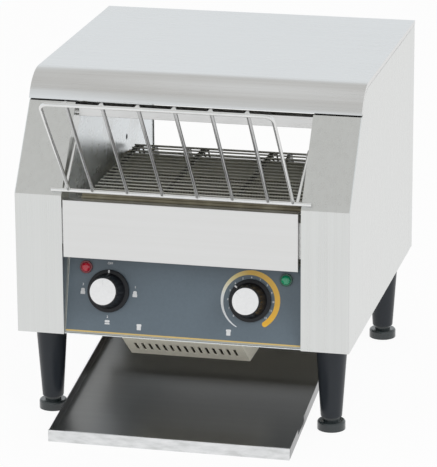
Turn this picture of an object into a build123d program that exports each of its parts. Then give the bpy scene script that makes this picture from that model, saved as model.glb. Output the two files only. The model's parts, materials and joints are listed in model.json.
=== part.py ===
from build123d import *
from math import asin, atan2, cos, degrees, hypot, pi, radians, sin, sqrt, tan
import os

# Conveyor toaster: bread leans in the wire rack at the front, rides a wire belt between two
# banks of quartz tubes, drops behind the belt and slides forward under the body to the tray.
#
# Frame: millimetres, +Z up, front towards -Y, origin on the counter under the middle of the
# whole outline. In the sketches below, y counts back from the upright column faces and z up
# from the counter; side(), facing() and level() put them in that frame.

# ------------------------------------------------------------------- casing
width = 368.0  # over both side panels
depth = 400.0  # column faces to rear panel
leg_height = 101.0  # counter to the underside of the body
body_height = 274.0  # underside to the top of the hood
sheet = 1.0  # stainless sheet
seam = 0.2  # between two separate sheets
column_width = 52.6  # each front column
knee_height = 157.0  # underside to the bend in the column faces
lip_drop = 27.5  # top of the hood to its front lip
slope_run = 65.6  # how far the sloping faces lean back at the lip
column_bend = 1.8  # outer bend radius of the columns
cheek = 30.0  # folded return beside the front panels
rear_flange = 26.0  # rear panel's flanges along the sides
hood_radius = 42.0
hood_proud = 1.5  # lip ahead of the sloping faces
hood_hem = 5.0  # hood's edge over each side panel
lip_return = 9.0  # fold behind the hood's lip
lip_gap = 2.0  # shadow gap under the lip
roof_gap = 5.0  # inner walls to the hood

# --------------------------------------------------------- fascia and panel
fascia_lift = 3.4  # control panel's top to the fascia's lower edge
fascia_drop = 3.5  # bend in the column faces to the fascia's top
fascia_gap = 2.4  # gap beside the fascia
fascia_proud = 4.0
fascia_fold = 10.0
fascia_tab = 40.0
panel_tilt = 16.0  # degrees back from upright
panel_height = 88.0  # along the tilted face
panel_setback = 3.0  # lower edge behind the column faces
panel_lift = 0.5  # lower edge over the base plate
overlay = 0.4  # printed film on the panel
overlay_margin = 1.6  # bare steel under the film
overlay_side = 1.0  # bare steel at its ends
control_v = 47.8  # knob centres, up the panel
selector_inset = 47.0  # from the left cheek
speed_inset = 58.4  # from the right cheek
lamp_inset = 20.4  # from the cheeks
lamp_drop = 15.6  # panel's upper edge to the lamps
rail_height = 12.6  # rail over the feed opening
rail_gap = 4.9  # shadow gap between the rail and the hood's lip
rail_setback = 2.0  # rail face behind the hood's lip
rail_depth = 14.0
rail_fold = 7.0
rail_cutback = 2.8  # rail's face stops short at its left end
entry_radius = 3.0
entry_rise = 7.0  # fascia's top to the crest of the entry lip
entry_front = 8.0
entry_run = 24.0
entry_drop = 17.0
entry_cutback = 21.0  # lip stops short of the left cheek

# ------------------------------------------------------------ heating space
shaft_height = 119.0  # underside to both belt shafts
front_shaft_y = 44.0
rear_shaft_y = 280.0
shaft_radius = 6.0
run_gap = 0.05  # running clearance, on the radius
seat_gap = 0.05  # between seated round faces
belt_strands = 48
sprocket_teeth = 10
belt_wire = 2.0
belt_gap = 8.2  # between the belt's edges and what spans the casing
loop_inset = 4.0  # outer links to the belt's edges
loop_pitch = 78.5  # outer links to the inner ones
loop_width = 5.0
link_gap = 0.25
sprocket_inset = 23.0  # outer sprockets to the belt's edges
sprocket_pitch = 40.0  # outer sprockets to the inner ones
sprocket_thickness = 4.0
sprocket_gap = 0.4  # tooth tips under the strands
bush_radius = 9.0
bush_flange = 12.0
bush_flange_thickness = 2.0
bush_length = 8.0
shaft_overhang = 9.0  # past the inner wall on the idle side
tube_radius = 5.0
tube_end = 8.0  # tubes past the inner walls
tube_hole_gap = 1.5
tube_cap_radius = 9.0
tube_cap_length = 16.0
upper_tube_drop = 47.0  # top of the hood to the upper tubes
upper_tube_start = 13.0  # reflector's front to the first upper tube
upper_tube_pitch = 70.0
lower_tube_inset = 40.0  # pan's ends to the outer lower tubes
tubes_each = 3  # above the belt, and inside it
reflector_drop = 30.0  # top of the hood to the reflector
reflector_front = 97.0
reflector_length = 205.0
reflector_fold = 9.0
pan_gaps = (31.0, 22.0)  # front shaft to the pan, and pan to the rear shaft
pan_bottom = 104.0
pan_depth = 31.0
sight_hole_y = 276.0
sight_hole_height = 149.0
sight_hole_radius = 3.5

# ------------------------------------------- rear panel, slide, tray, guides
window_bottom = 94.0
window_height = 67.0
window_margin = 1.2  # inner walls to the window
vent_slot_length = 26.0
vent_slot_width = 4.0
vent_rows = 6
vent_pitch = 10.0
vent_lift = 75.0  # underside to the middle of the lower slots
vent_drop = 65.0  # top of the hood to the middle of the upper slots
wall_flange = 17.0
slide_top_gap = 8.0  # slide's top to the rear panel's outer face
slide_top_drop = 5.0  # below the window
slide_foot_y = 150.0
slide_neck_y = 236.0  # the slide is narrow in front of this
slide_neck = 7.0  # narrowing on each side
slide_flange = 12.0
tray_pass = 3.0  # slide's foot over the tray's rear edge
tray_inset = 51.0  # in from the body's sides
tray_reach = 63.8  # tray's front ahead of the columns
tray_rear_y = 330.0
tray_slope = 8.2  # degrees
tray_lip = 13.2
tray_hem = 2.0
tray_wall = 12.0
tray_wall_gap = 1.5
tray_notch_start = 45.0
tray_notch_length = 30.0
tray_notch_depth = 6.0
guide_gap = 0.8
guide_rest = 0.3
guide_front_y = 240.0
guide_length = 88.0
guide_shelf = 14.0
guide_flange = 15.0

# --------------------------------------------------- control compartment
compartment_depth = 116.0
base_fold = 8.0
duct_width = 133.6
duct_front_y = 2.0
duct_slope_run = 40.0
duct_drop = 31.0
duct_rear_y = 90.0
duct_slots = 15
duct_slot_width = 3.0
duct_slot_length = 21.0
duct_slot_pitch = 7.9
fan_size = 80.0
fan_y = 56.0
fan_height = 25.0
fan_bore = 38.0
fan_tip_gap = 1.0
fan_hub = 15.0
fan_blades = 7
fan_blade_thickness = 1.6
fan_blade_tilt = 38.0
fan_blade_chord = 10.4
fan_blade_root = 2.0  # blades start this far inside the rotor's hub
fan_rotor_height = 13.0
fan_rotor_gap = 2.0  # rotor to the struts
fan_corner = 4.0
fan_struts = 3
fan_strut = 4.0
fan_pin = 2.0
fan_pin_end = 2.0  # pin past the rotor
switch_size = 36.0
switch_corner = 2.0
switch_depth = 28.0
regulator_radius = 19.0
regulator_depth = 26.0
bushing_radius = 5.0
bushing_proud = 2.0
spindle_radius = 3.0
spindle_depth = 12.0
motor_radius = 27.0
motor_length = 40.0
motor_y = 86.0
motor_height = 40.0
motor_flange = 62.0
motor_flange_thickness = 3.0
motor_corner = 6.0
motor_round = 3.0
motor_boss = 9.0
motor_shaft_radius = 4.0
motor_shaft_depth = 14.0
chain_pitch = 6.35
chain_roller = 1.27  # radius
motor_teeth = 12
driven_teeth = 20
chain_width = 5.0
chain_inner = 1.5  # chain's inner edge inside the pitch line
chain_outer = 2.5
chain_gap = 0.5
drive_sprocket_thickness = 3.0
drive_offset = 9.0  # sprockets' middle plane past the inner wall

# ------------------------------------------------------------------- knobs
skirt_radius = 23.25
skirt_height = 4.5
knob_base_radius = 19.0
knob_top_radius = 16.0
knob_height = 26.0
knob_gap = 0.4  # knob over the overlay
knob_edge = 1.0  # skirt's rounded edges
knob_socket_gap = 1.0  # around the switch's bushing
knob_cover = 3.6  # knob's top over the spindle's end
pointer_width = 2.4  # raised pointer on the skirt
pointer_start = 15.5  # from the knob's axis
pointer_height = 0.5
pointer_margin = 1.0  # pointer's end to the skirt's edge
cap_radius = 14.5
cap_thickness = 1.2
cap_proud = 0.6  # cap over the knob's top
cap_edge = 0.4
cap_mark_start = 6.0  # groove in the cap, from its centre
cap_mark_length = 7.2
cap_mark_width = 1.2
cap_mark_depth = 0.4
selector_pointer = 0.0  # degrees from twelve o'clock
speed_pointer = 48.0
lamp_bezel_radius = 7.0
lamp_bezel_height = 2.2
lamp_bezel_round = 0.5
lamp_neck_radius = 5.0
lamp_neck_length = 16.0
lamp_lens_radius = 5.2
lamp_lens_height = 4.2
lamp_lens_round = 2.5
lamp_seat = 1.0

# -------------------------------------------------------------- rack wires
rack_wire = 4.0
rack_bar = 4.6  # bottom rod
rack_overhang = 11.1  # bottom rod's ends over the cheeks
rack_foot = 6.0  # bottom rod, up the slope from the bend
rack_rest = 0.3
rack_lean = 40.4  # degrees forward of upright
rack_height = 160.0
guard_inset = 19.7  # guard's side wires from the bottom rod's ends
rack_corner = 9.0
rack_rods = 6
rod_inset = 26.8  # outer rods from the guard's side wires
weld_gap = 0.05
arm_foot_gap = 4.55  # arms' centres to the cheeks, at the bottom rod
arm_grip = 0.3  # arms to the cheeks, at their ends
arm_rise = 67.0  # bottom rod to the arms' ends, up the slope
arm_depth = 19.0  # arms' ends behind the bottom rod, into the opening

# --------------------------------------------------- legs, feet, fasteners
leg_inset = 26.6  # legs' axes in from the sides
leg_front_y = 41.8
leg_rear_gap = 43.0  # rear legs' axes to the rear panel's outer face
leg_top_radius = 17.5
leg_bottom_radius = 11.75
leg_shoulder = 15.0  # counter to the leg's lower end
foot_radius = 15.5
foot_thickness = 10.0
foot_round = 2.5
foot_neck_radius = 9.0
foot_rest = 0.3
stud_radius = 5.0
stud_length = 32.0
stud_bore_depth = 38.0
leg_bolt_radius = 4.0
leg_bolt_length = 24.0
leg_bolt_head = 6.5
leg_bolt_head_height = 5.0
screw_radius = 2.0
screw_head = 3.8
screw_head_height = 2.2
screw_round = 1.1
screw_length = 8.0
screw_inset = 9.6  # past the inner walls
screw_ends = (18.0, 22.0)  # underside to the lowest screw, top of the hood to the highest
screw_middle = 130.0  # underside to the middle screw
gland_inset = 26.0  # in from the side
gland_height = 32.0
gland_bore = 4.2
gland_radius = 6.0
gland_nut = 10.0
gland_nut_height = 7.0
gland_cap_radius = 8.0
gland_round = 1.0
gland_proud = 14.0
gland_inside = 9.0

# ------------------------------------------------------ what follows from them
base_z = leg_height
top_z = base_z + body_height
knee_z = base_z + knee_height
lip_z = top_z - lip_drop
inner_x = width / 2 - column_width  # inner faces of cheeks and inner walls
fit_x = inner_x - seam  # half length of what fits between them
slope_rise = lip_z - knee_z
slope_length = hypot(slope_run, slope_rise)
up_y = slope_run / slope_length  # unit vector up the slope
up_z = slope_rise / slope_length
hood_z = top_z - hood_radius
lip_y = slope_run - hood_proud / up_z
hood_y = lip_y + sqrt(hood_radius**2 - (lip_z - hood_z) ** 2)
slope_end = slope_length - lip_gap / up_z
wall_front = cheek + seam
wall_rear = depth - sheet - seam
shaft_z = base_z + shaft_height
belt_pitch = 2 * (rear_shaft_y - front_shaft_y) / (belt_strands - sprocket_teeth)
belt_radius = sprocket_teeth * belt_pitch / (2 * pi)
pan_front = front_shaft_y + pan_gaps[0]
pan_rear = rear_shaft_y - pan_gaps[1]
upper_tube_y = [reflector_front + upper_tube_start + n * upper_tube_pitch for n in range(tubes_each)]
lower_tube_pitch = (pan_rear - pan_front - 2 * lower_tube_inset) / (tubes_each - 1)
lower_tube_y = [pan_front + lower_tube_inset + n * lower_tube_pitch for n in range(tubes_each)]
belt_width = 2 * (fit_x - belt_gap)
loop_edge = belt_width / 2 - loop_inset
belt_loops = (-loop_edge, loop_pitch - loop_edge, loop_edge - loop_pitch, loop_edge)
sprocket_edge = belt_width / 2 - sprocket_inset
sprocket_x = (
    -sprocket_edge,
    sprocket_pitch - sprocket_edge,
    sprocket_edge - sprocket_pitch,
    sprocket_edge,
)
tray_width = width - 2 * tray_inset
tray_rise = tan(radians(tray_slope))
tray_rear_z = (tray_rear_y + tray_reach) * tray_rise
window_z = base_z + window_bottom
window_width = 2 * (inner_x - window_margin)
slide_top_y = depth - slide_top_gap
slide_top_z = window_z - slide_top_drop
slide_foot_z = tray_rear_z + sheet + tray_pass
slide_rise = (slide_top_z - slide_foot_z) / (slide_top_y - slide_foot_y)
selector_x = selector_inset - inner_x
speed_x = inner_x - speed_inset
lamp_x = inner_x - lamp_inset
lamp_v = panel_height - lamp_drop
panel_top_z = base_z + sheet + panel_lift + panel_height * cos(radians(panel_tilt))
shield_z = panel_top_z + 2 * seam
leg_x = width / 2 - leg_inset
leg_rear_y = depth - leg_rear_gap
screw_x = inner_x + screw_inset
screw_levels = (base_z + screw_ends[0], base_z + screw_middle, top_z - screw_ends[1])
gland_x = width / 2 - gland_inset
rack_bar_length = 2 * (inner_x + rack_overhang)
rack_half = rack_bar_length / 2 - guard_inset
rack_pitch = 2 * (rack_half - rod_inset) / (rack_rods - 1)
arm_foot_x = inner_x - arm_foot_gap
arm_side_x = inner_x - arm_grip - rack_wire / 2
motor_z = base_z + motor_height
drive_x = inner_x + sheet + drive_offset
lean_y = -sin(radians(rack_lean))
lean_z = cos(radians(rack_lean))


def on_slope(up, out=0.0):
    """(y, z) of a point on the sloping faces: `up` from the bend, `out` of the face."""
    return (up * up_y - out * up_z, knee_z + up * up_z + out * up_y)


rack_y, rack_z = on_slope(rack_foot, rack_bar / 2 + rack_rest)
front_reach = rack_height * -lean_y + rack_wire / 2 - rack_y
front_y = (front_reach - depth - gland_proud) / 2  # column faces in the object's frame


def side(x):
    """Plane across X for sketches in (y, z)."""
    return Plane(origin=(x, front_y, 0), x_dir=(0, 1, 0), z_dir=(1, 0, 0))


def facing(y):
    """Plane that faces forward, for sketches in (x, z)."""
    return Plane(origin=(0, front_y + y, 0), x_dir=(1, 0, 0), z_dir=(0, -1, 0))


def level(z):
    """Level plane for sketches in (x, y)."""
    return Plane(origin=(0, front_y, z), x_dir=(1, 0, 0), z_dir=(0, 0, 1))


def panel_face(u=0.0, v=0.0, out=0.0):
    """Plane on the tilted control panel: u across, v up it, `out` of its face."""
    foot = Plane(
        origin=(0, front_y + panel_setback, base_z + sheet + panel_lift),
        x_dir=(1, 0, 0),
        z_dir=(0, -cos(radians(panel_tilt)), sin(radians(panel_tilt))),
    )
    return Plane(origin=foot.from_local_coords((u, v, out)), x_dir=(1, 0, 0), z_dir=foot.z_dir)


def tray_z(y):
    """Height of the tray's underside."""
    return (y + tray_reach) * tray_rise


def slide_z(y):
    """Height of the slide's underside."""
    return slide_foot_z + (y - slide_foot_y) * slide_rise


def hood_arc(inset, foot_z):
    """The hood's front arc, `inset` inside its outer face, from its top down to foot_z."""
    radius = hood_radius - inset
    return CenterArc((hood_y, hood_z), radius, 90, 90 - degrees(asin((foot_z - hood_z) / radius)))


def rectangle(x0, y0, x1, y1, mode=Mode.ADD):
    """A rectangle between two corners of the sketch."""
    with Locations(((x0 + x1) / 2, (y0 + y1) / 2)):
        Rectangle(abs(x1 - x0), abs(y1 - y0), mode=mode)


def outline(*points):
    """A closed face through these points."""
    Polygon(*points, align=None)


def strip(height_at, y0, y1, thickness):
    """A sloping strip over the line height_at(y)."""
    outline(
        (y0, height_at(y0)),
        (y1, height_at(y1)),
        (y1, height_at(y1) + thickness),
        (y0, height_at(y0) + thickness),
    )


def save(piece, node):
    """Label a finished piece and write its STEP file."""
    piece.part.label = node
    export_step(piece.part, f"parts/{node}.step")


os.makedirs("parts", exist_ok=True)

# ---------------------------------------------------------------- side panels
leg_places = {
    "front_left": (-leg_x, leg_front_y),
    "front_right": (leg_x, leg_front_y),
    "rear_left": (-leg_x, leg_rear_y),
    "rear_right": (leg_x, leg_rear_y),
}
slope_top = on_slope(slope_end)
skin_rear = depth - rear_flange - seam
half_bend = tan(atan2(up_y, up_z) / 2)

with BuildPart() as left_side_panel:
    with BuildSketch(side(-width / 2)):
        with BuildLine():
            crown = hood_arc(hood_hem + seam, slope_top[1])
            Polyline(crown @ 1, slope_top, (0, knee_z), (0, base_z), (skin_rear, base_z))
            Polyline((skin_rear, base_z), (skin_rear, top_z - hood_hem - seam), crown @ 0)
        make_face()
    extrude(amount=sheet)
    with BuildSketch(side(-width / 2)):
        outline(
            (0, base_z),
            (0, knee_z),
            slope_top,
            (slope_top[0] + sheet / up_z, slope_top[1]),
            (sheet, knee_z - sheet * half_bend),
            (sheet, base_z),
        )
    extrude(amount=column_width)
    with BuildSketch(side(-inner_x)):
        outline(
            (0, base_z),
            (0, knee_z),
            slope_top,
            (slope_top[0] + cheek, slope_top[1]),
            (cheek, knee_z),
            (cheek, base_z),
        )
    extrude(amount=-sheet)
    with BuildSketch(level(base_z)):
        rectangle(-width / 2, 0, -inner_x, skin_rear)
        with Locations(*[place for corner, place in leg_places.items() if place[0] < 0]):
            Circle(leg_bolt_radius + seam, mode=Mode.SUBTRACT)
    extrude(amount=sheet)
    outer_bends = left_side_panel.edges().group_by(Axis.X)[0].sort_by(Axis.Y)[0:2]
    fillet(outer_bends, column_bend)
save(left_side_panel, "left_side_panel")

with BuildPart() as right_side_panel:
    mirror(left_side_panel.part, about=Plane.YZ)
save(right_side_panel, "right_side_panel")

# ----------------------------------------------------------------------- hood
with BuildPart() as top_hood:
    with BuildSketch(side(-width / 2)):
        with BuildLine():
            outer = hood_arc(0, lip_z)
            inner = hood_arc(sheet, lip_z)
            Line(outer @ 1, inner @ 1)
            Polyline(inner @ 0, (depth, top_z - sheet), (depth, top_z), outer @ 0)
        make_face()
    extrude(amount=width)
    for x in (-width / 2, width / 2 - sheet):
        with BuildSketch(side(x)):
            with BuildLine():
                outer = hood_arc(0, lip_z)
                inner = hood_arc(hood_hem, lip_z)
                Line(outer @ 1, inner @ 1)
                Polyline(inner @ 0, (depth, top_z - hood_hem), (depth, top_z), outer @ 0)
            make_face()
        extrude(amount=sheet)
    inside_x = width / 2 - sheet
    with BuildSketch(side(seam - inside_x)):
        rectangle(lip_y + sheet / 2, lip_z, lip_y + lip_return, lip_z + sheet)
    extrude(amount=2 * (inside_x - seam))
save(top_hood, "top_hood")

# ----------------------------------------------------------------- rear panel
flange_top = top_z - hood_hem - seam
vent_x = (width / 2 + inner_x + wall_flange) / 2
screw_places = [(x, z) for x in (-screw_x, screw_x) for z in screw_levels]

with BuildPart() as rear_panel:
    with BuildSketch(facing(depth)):
        rectangle(-width / 2, base_z, width / 2, flange_top)
        rectangle(seam - inside_x, base_z, inside_x - seam, top_z - sheet - seam)
        rectangle(
            -window_width / 2,
            window_z,
            window_width / 2,
            window_z + window_height,
            mode=Mode.SUBTRACT,
        )
        for z in (base_z + vent_lift, top_z - vent_drop):
            with Locations((-vent_x, z), (vent_x, z)):
                with GridLocations(0, vent_pitch, 1, vent_rows):
                    SlotOverall(vent_slot_length, vent_slot_width, mode=Mode.SUBTRACT)
        with Locations(*screw_places):
            Circle(screw_radius + seam, mode=Mode.SUBTRACT)
        with Locations((gland_x, base_z + gland_height)):
            Circle(gland_radius + seat_gap, mode=Mode.SUBTRACT)
    extrude(amount=sheet)
    for x in (-width / 2, inside_x):
        with BuildSketch(side(x)):
            rectangle(depth - rear_flange, base_z, depth, flange_top)
        extrude(amount=sheet)
    rear_bends = rear_panel.edges().filter_by(Axis.Z).group_by(Axis.Y)[-1]
    outer_rear_bends = [bend for bend in rear_bends if abs(abs(bend.center().X) - width / 2) < seam]
    fillet(outer_rear_bends, column_bend)
save(rear_panel, "rear_panel")

# ---------------------------------------------------------------- inner walls
upper_tube_z = top_z - upper_tube_drop
with BuildPart() as left_inner_wall:
    with BuildSketch(side(-inner_x)):
        outline(
            (wall_front, base_z + sheet),
            (wall_front, knee_z),
            (slope_top[0] + wall_front, slope_top[1]),
            (hood_y, top_z - roof_gap),
            (wall_rear, top_z - roof_gap),
            (wall_rear, base_z + sheet),
        )
        with Locations((front_shaft_y, shaft_z), (rear_shaft_y, shaft_z)):
            Circle(bush_radius + seat_gap, mode=Mode.SUBTRACT)
        with Locations(*[(y, upper_tube_z) for y in upper_tube_y]):
            Circle(tube_radius + tube_hole_gap, mode=Mode.SUBTRACT)
        with Locations(*[(y, shaft_z) for y in lower_tube_y]):
            Circle(tube_radius + tube_hole_gap, mode=Mode.SUBTRACT)
        with Locations((sight_hole_y, base_z + sight_hole_height)):
            Circle(sight_hole_radius, mode=Mode.SUBTRACT)
    extrude(amount=-sheet)
    with BuildSketch(facing(wall_rear)):
        rectangle(-inner_x - wall_flange, base_z + sheet, -inner_x, top_z - roof_gap)
        with Locations(*[(-screw_x, z) for z in screw_levels]):
            Circle(screw_radius + seat_gap, mode=Mode.SUBTRACT)
    extrude(amount=sheet)
save(left_inner_wall, "left_inner_wall")

with BuildPart() as right_inner_wall:
    mirror(left_inner_wall.part, about=Plane.YZ)
    with BuildSketch(side(inner_x)):
        with Locations((motor_y, motor_z)):
            Circle(motor_boss + seat_gap)
    extrude(amount=sheet, mode=Mode.SUBTRACT)
save(right_inner_wall, "right_inner_wall")

# ------------------------------------------------- fascia, rail and entry lip
fascia_z = panel_top_z + fascia_lift
fascia_half = inner_x - fascia_gap
fascia_top = knee_z - fascia_drop
with BuildPart() as fascia_plate:
    with BuildSketch(facing(-fascia_proud)):
        rectangle(-fascia_half, fascia_z, fascia_half, fascia_top)
    extrude(amount=-sheet)
    with BuildSketch(facing(-fascia_proud)):
        rectangle(-fascia_half, fascia_z, fascia_half, fascia_top)
        rectangle(
            sheet - fascia_half,
            fascia_z + sheet,
            fascia_half - sheet,
            fascia_top - sheet,
            mode=Mode.SUBTRACT,
        )
    extrude(amount=-fascia_fold)
    with BuildSketch(facing(fascia_fold - fascia_proud)):
        for sign in (-1, 1):
            with Locations((sign * (fascia_half + fit_x - sheet) / 2, (fascia_z + fascia_top) / 2)):
                Rectangle(fit_x - fascia_half + sheet, fascia_tab)
    extrude(amount=sheet)
    front_edges = fascia_plate.edges().group_by(Axis.Y)[0]
    fillet(front_edges, sheet / 2)
save(fascia_plate, "fascia_plate")

rail_y = lip_y + rail_setback
rail_top = lip_z - rail_gap
rail_z = rail_top - rail_height
with BuildPart() as front_top_rail:
    with BuildSketch(side(-fit_x)):
        rectangle(rail_y, rail_z, rail_y + sheet, rail_top)
        rectangle(rail_y, rail_top - sheet, rail_y + rail_depth, rail_top)
        rectangle(rail_y, rail_z, rail_y + rail_fold, rail_z + sheet)
    extrude(amount=2 * fit_x)
    with BuildSketch(facing(rail_y)):
        rectangle(-fit_x, rail_z, rail_cutback - fit_x, rail_top)
    extrude(amount=-sheet, mode=Mode.SUBTRACT)
save(front_top_rail, "front_top_rail")

entry_z = fascia_top + entry_rise
with BuildPart() as entry_lip:
    with BuildSketch(side(entry_cutback - fit_x)):
        with BuildLine():
            FilletPolyline(
                (entry_front, fascia_top - sheet),
                (entry_front, entry_z),
                (entry_front + entry_run, entry_z - entry_drop),
                radius=entry_radius,
            )
            offset(amount=sheet, side=Side.LEFT, closed=True)
        make_face()
    extrude(amount=2 * fit_x - entry_cutback)
save(entry_lip, "entry_lip")

# -------------------------------------------------------------- control panel
with BuildPart() as control_panel:
    with BuildSketch(panel_face(out=-overlay)):
        rectangle(-fit_x, 0, fit_x, panel_height)
        with Locations((selector_x, control_v), (speed_x, control_v)):
            Circle(bushing_radius + seat_gap, mode=Mode.SUBTRACT)
        with Locations((-lamp_x, lamp_v), (lamp_x, lamp_v)):
            Circle(lamp_neck_radius + seat_gap, mode=Mode.SUBTRACT)
    extrude(amount=-sheet)
save(control_panel, "control_panel")

with BuildPart() as panel_overlay:
    with BuildSketch(panel_face()):
        rectangle(overlay_side - fit_x, overlay_margin, fit_x - overlay_side, panel_height)
        with Locations((selector_x, control_v), (speed_x, control_v)):
            Circle(bushing_radius + seat_gap, mode=Mode.SUBTRACT)
        with Locations((-lamp_x, lamp_v), (lamp_x, lamp_v)):
            Circle(lamp_neck_radius + seat_gap, mode=Mode.SUBTRACT)
    extrude(amount=-overlay)
save(panel_overlay, "panel_overlay")

# ------------------------------------------------- base plate, duct and shield
with BuildPart() as base_plate:
    with BuildSketch(level(base_z)):
        rectangle(-fit_x, panel_setback, fit_x, compartment_depth)
        with Locations((0, fan_y)):
            Circle(fan_bore, mode=Mode.SUBTRACT)
    extrude(amount=sheet)
    for x in (-fit_x, fit_x - sheet):
        with BuildSketch(side(x)):
            rectangle(cheek, base_z, compartment_depth - sheet - seam, base_z + base_fold)
        extrude(amount=sheet)
save(base_plate, "base_plate")

duct_z = base_z - duct_drop
duct_slant = hypot(duct_slope_run, duct_drop)
with BuildPart() as vent_duct:
    with BuildSketch(side(-duct_width / 2)):
        outline(
            (duct_front_y, base_z),
            (duct_front_y + duct_slope_run, duct_z),
            (duct_rear_y, duct_z),
            (duct_rear_y, base_z),
        )
    extrude(amount=duct_width)
    offset(amount=-sheet, openings=vent_duct.faces().sort_by(Axis.Z)[-1])
    duct_face = Plane(
        origin=(0, front_y + duct_front_y + duct_slope_run / 2, base_z - duct_drop / 2),
        x_dir=(1, 0, 0),
        z_dir=(0, -duct_drop / duct_slant, -duct_slope_run / duct_slant),
    )
    with BuildSketch(duct_face):
        with GridLocations(duct_slot_pitch, 0, duct_slots, 1):
            Rectangle(duct_slot_width, duct_slot_length)
    extrude(amount=-2 * sheet, mode=Mode.SUBTRACT)
save(vent_duct, "vent_duct")

with BuildPart() as heat_shield:
    with BuildSketch(side(-fit_x)):
        rectangle(cheek, shield_z, compartment_depth, shield_z + sheet)
        shield_foot = base_z + sheet + seam
        rectangle(compartment_depth - sheet, shield_foot, compartment_depth, shield_z + sheet)
    extrude(amount=2 * fit_x)
save(heat_shield, "heat_shield")

# ------------------------------------------------------- heaters and reflectors
with BuildPart() as upper_reflector:
    reflector_z = top_z - reflector_drop
    reflector_rear = reflector_front + reflector_length
    with BuildSketch(side(-fit_x)):
        rectangle(reflector_front, reflector_z, reflector_rear, reflector_z + sheet)
    extrude(amount=2 * fit_x)
    for x in (-fit_x, fit_x - sheet):
        with BuildSketch(side(x)):
            rectangle(reflector_front, reflector_z - reflector_fold, reflector_rear, reflector_z)
        extrude(amount=sheet)
save(upper_reflector, "upper_reflector")

with BuildPart() as lower_heater_pan:
    pan_z = base_z + pan_bottom
    with BuildSketch(side(-fit_x)):
        rectangle(pan_front, pan_z, pan_rear, pan_z + pan_depth)
        rectangle(
            pan_front + sheet,
            pan_z + sheet,
            pan_rear - sheet,
            pan_z + pan_depth,
            mode=Mode.SUBTRACT,
        )
    extrude(amount=2 * fit_x)
save(lower_heater_pan, "lower_heater_pan")

upper_places = [(y, upper_tube_z) for y in upper_tube_y]
lower_places = [(y, shaft_z) for y in lower_tube_y]
tube_reach = inner_x + sheet + tube_end
with BuildPart() as quartz_tubes:
    with BuildSketch(side(-tube_reach)):
        with Locations(*upper_places, *lower_places):
            Circle(tube_radius)
    extrude(amount=2 * tube_reach)
save(quartz_tubes, "quartz_tubes")

cap_x = inner_x + sheet + seam
with BuildPart() as tube_caps:
    with BuildSketch(side(cap_x)):
        with Locations(*upper_places, *lower_places):
            Circle(tube_cap_radius)
            Circle(tube_radius + seat_gap, mode=Mode.SUBTRACT)
    extrude(amount=tube_cap_length)
    mirror(about=Plane.YZ)
save(tube_caps, "tube_caps")

# ------------------------------------------------------ belt, shafts, sprockets
arc_pitch = 2 * belt_radius * sin(pi / sprocket_teeth)
link_length = arc_pitch - belt_wire - link_gap

with BuildPart() as strand:
    with BuildSketch(Plane.YZ.offset(-belt_width / 2)):
        Circle(belt_wire / 2)
    extrude(amount=belt_width)
    with BuildSketch(Plane.XZ):
        for x in belt_loops:
            with Locations((x - loop_width / 2, 0), (x + loop_width / 2, 0)):
                Circle(belt_wire / 2)
    extrude(amount=-(link_length + belt_wire / 2))


def strand_place(number):
    """Where a strand sits on the belt's loop, with its links towards the next strand."""
    run = rear_shaft_y - front_shaft_y
    half_turn = pi * belt_radius
    along = number * belt_pitch % (2 * (run + half_turn))
    if along < run:
        y, z, turn = front_shaft_y + along, shaft_z + belt_radius, 0.0
    elif along < run + half_turn:
        angle = (along - run) / belt_radius
        y, z = rear_shaft_y + belt_radius * sin(angle), shaft_z + belt_radius * cos(angle)
        turn = degrees(angle) + 180 / sprocket_teeth
    elif along < 2 * run + half_turn:
        y, z = rear_shaft_y - (along - run - half_turn), shaft_z - belt_radius
        turn = 180.0
    else:
        angle = (along - 2 * run - half_turn) / belt_radius
        y, z = front_shaft_y - belt_radius * sin(angle), shaft_z - belt_radius * cos(angle)
        turn = 180.0 + degrees(angle) + 180 / sprocket_teeth
    return Location((0, front_y + y, z), (-turn, 0, 0))


with BuildPart() as conveyor_belt:
    with Locations(*[strand_place(number) for number in range(belt_strands)]):
        add(strand.part)
save(conveyor_belt, "conveyor_belt")

tooth_tip = belt_radius - belt_wire / 2 - sprocket_gap
for end, y in (("front", front_shaft_y), ("rear", rear_shaft_y)):
    shaft_end = drive_x + chain_width if end == "front" else inner_x + shaft_overhang
    with BuildPart() as shaft:
        with BuildSketch(side(-inner_x - shaft_overhang)):
            with Locations((y, shaft_z)):
                Circle(shaft_radius)
        extrude(amount=inner_x + shaft_overhang + shaft_end)
    save(shaft, f"{end}_shaft")
    with BuildPart() as belt_sprockets:
        for x in sprocket_x:
            with BuildSketch(side(x - sprocket_thickness / 2)):
                with Locations((y, shaft_z)):
                    Circle(tooth_tip)
                    with PolarLocations(tooth_tip, sprocket_teeth):
                        Circle(belt_wire, mode=Mode.SUBTRACT)
                    Circle(shaft_radius + seat_gap, mode=Mode.SUBTRACT)
            extrude(amount=sprocket_thickness)
    save(belt_sprockets, f"{end}_belt_sprockets")

with BuildPart() as shaft_bushes:
    with BuildSketch(side(fit_x)):
        with Locations((front_shaft_y, shaft_z), (rear_shaft_y, shaft_z)):
            Circle(bush_flange)
    extrude(amount=-bush_flange_thickness)
    with BuildSketch(side(fit_x)):
        with Locations((front_shaft_y, shaft_z), (rear_shaft_y, shaft_z)):
            Circle(bush_radius)
    extrude(amount=bush_length - bush_flange_thickness)
    with BuildSketch(side(fit_x - bush_flange_thickness)):
        with Locations((front_shaft_y, shaft_z), (rear_shaft_y, shaft_z)):
            Circle(shaft_radius + run_gap)
    extrude(amount=bush_length, mode=Mode.SUBTRACT)
    mirror(about=Plane.YZ)
save(shaft_bushes, "shaft_bushes")

# ------------------------------------------------------------------ belt drive
def pitch_radius(teeth):
    """Pitch radius of a chain sprocket."""
    return chain_pitch / (2 * sin(pi / teeth))


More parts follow.
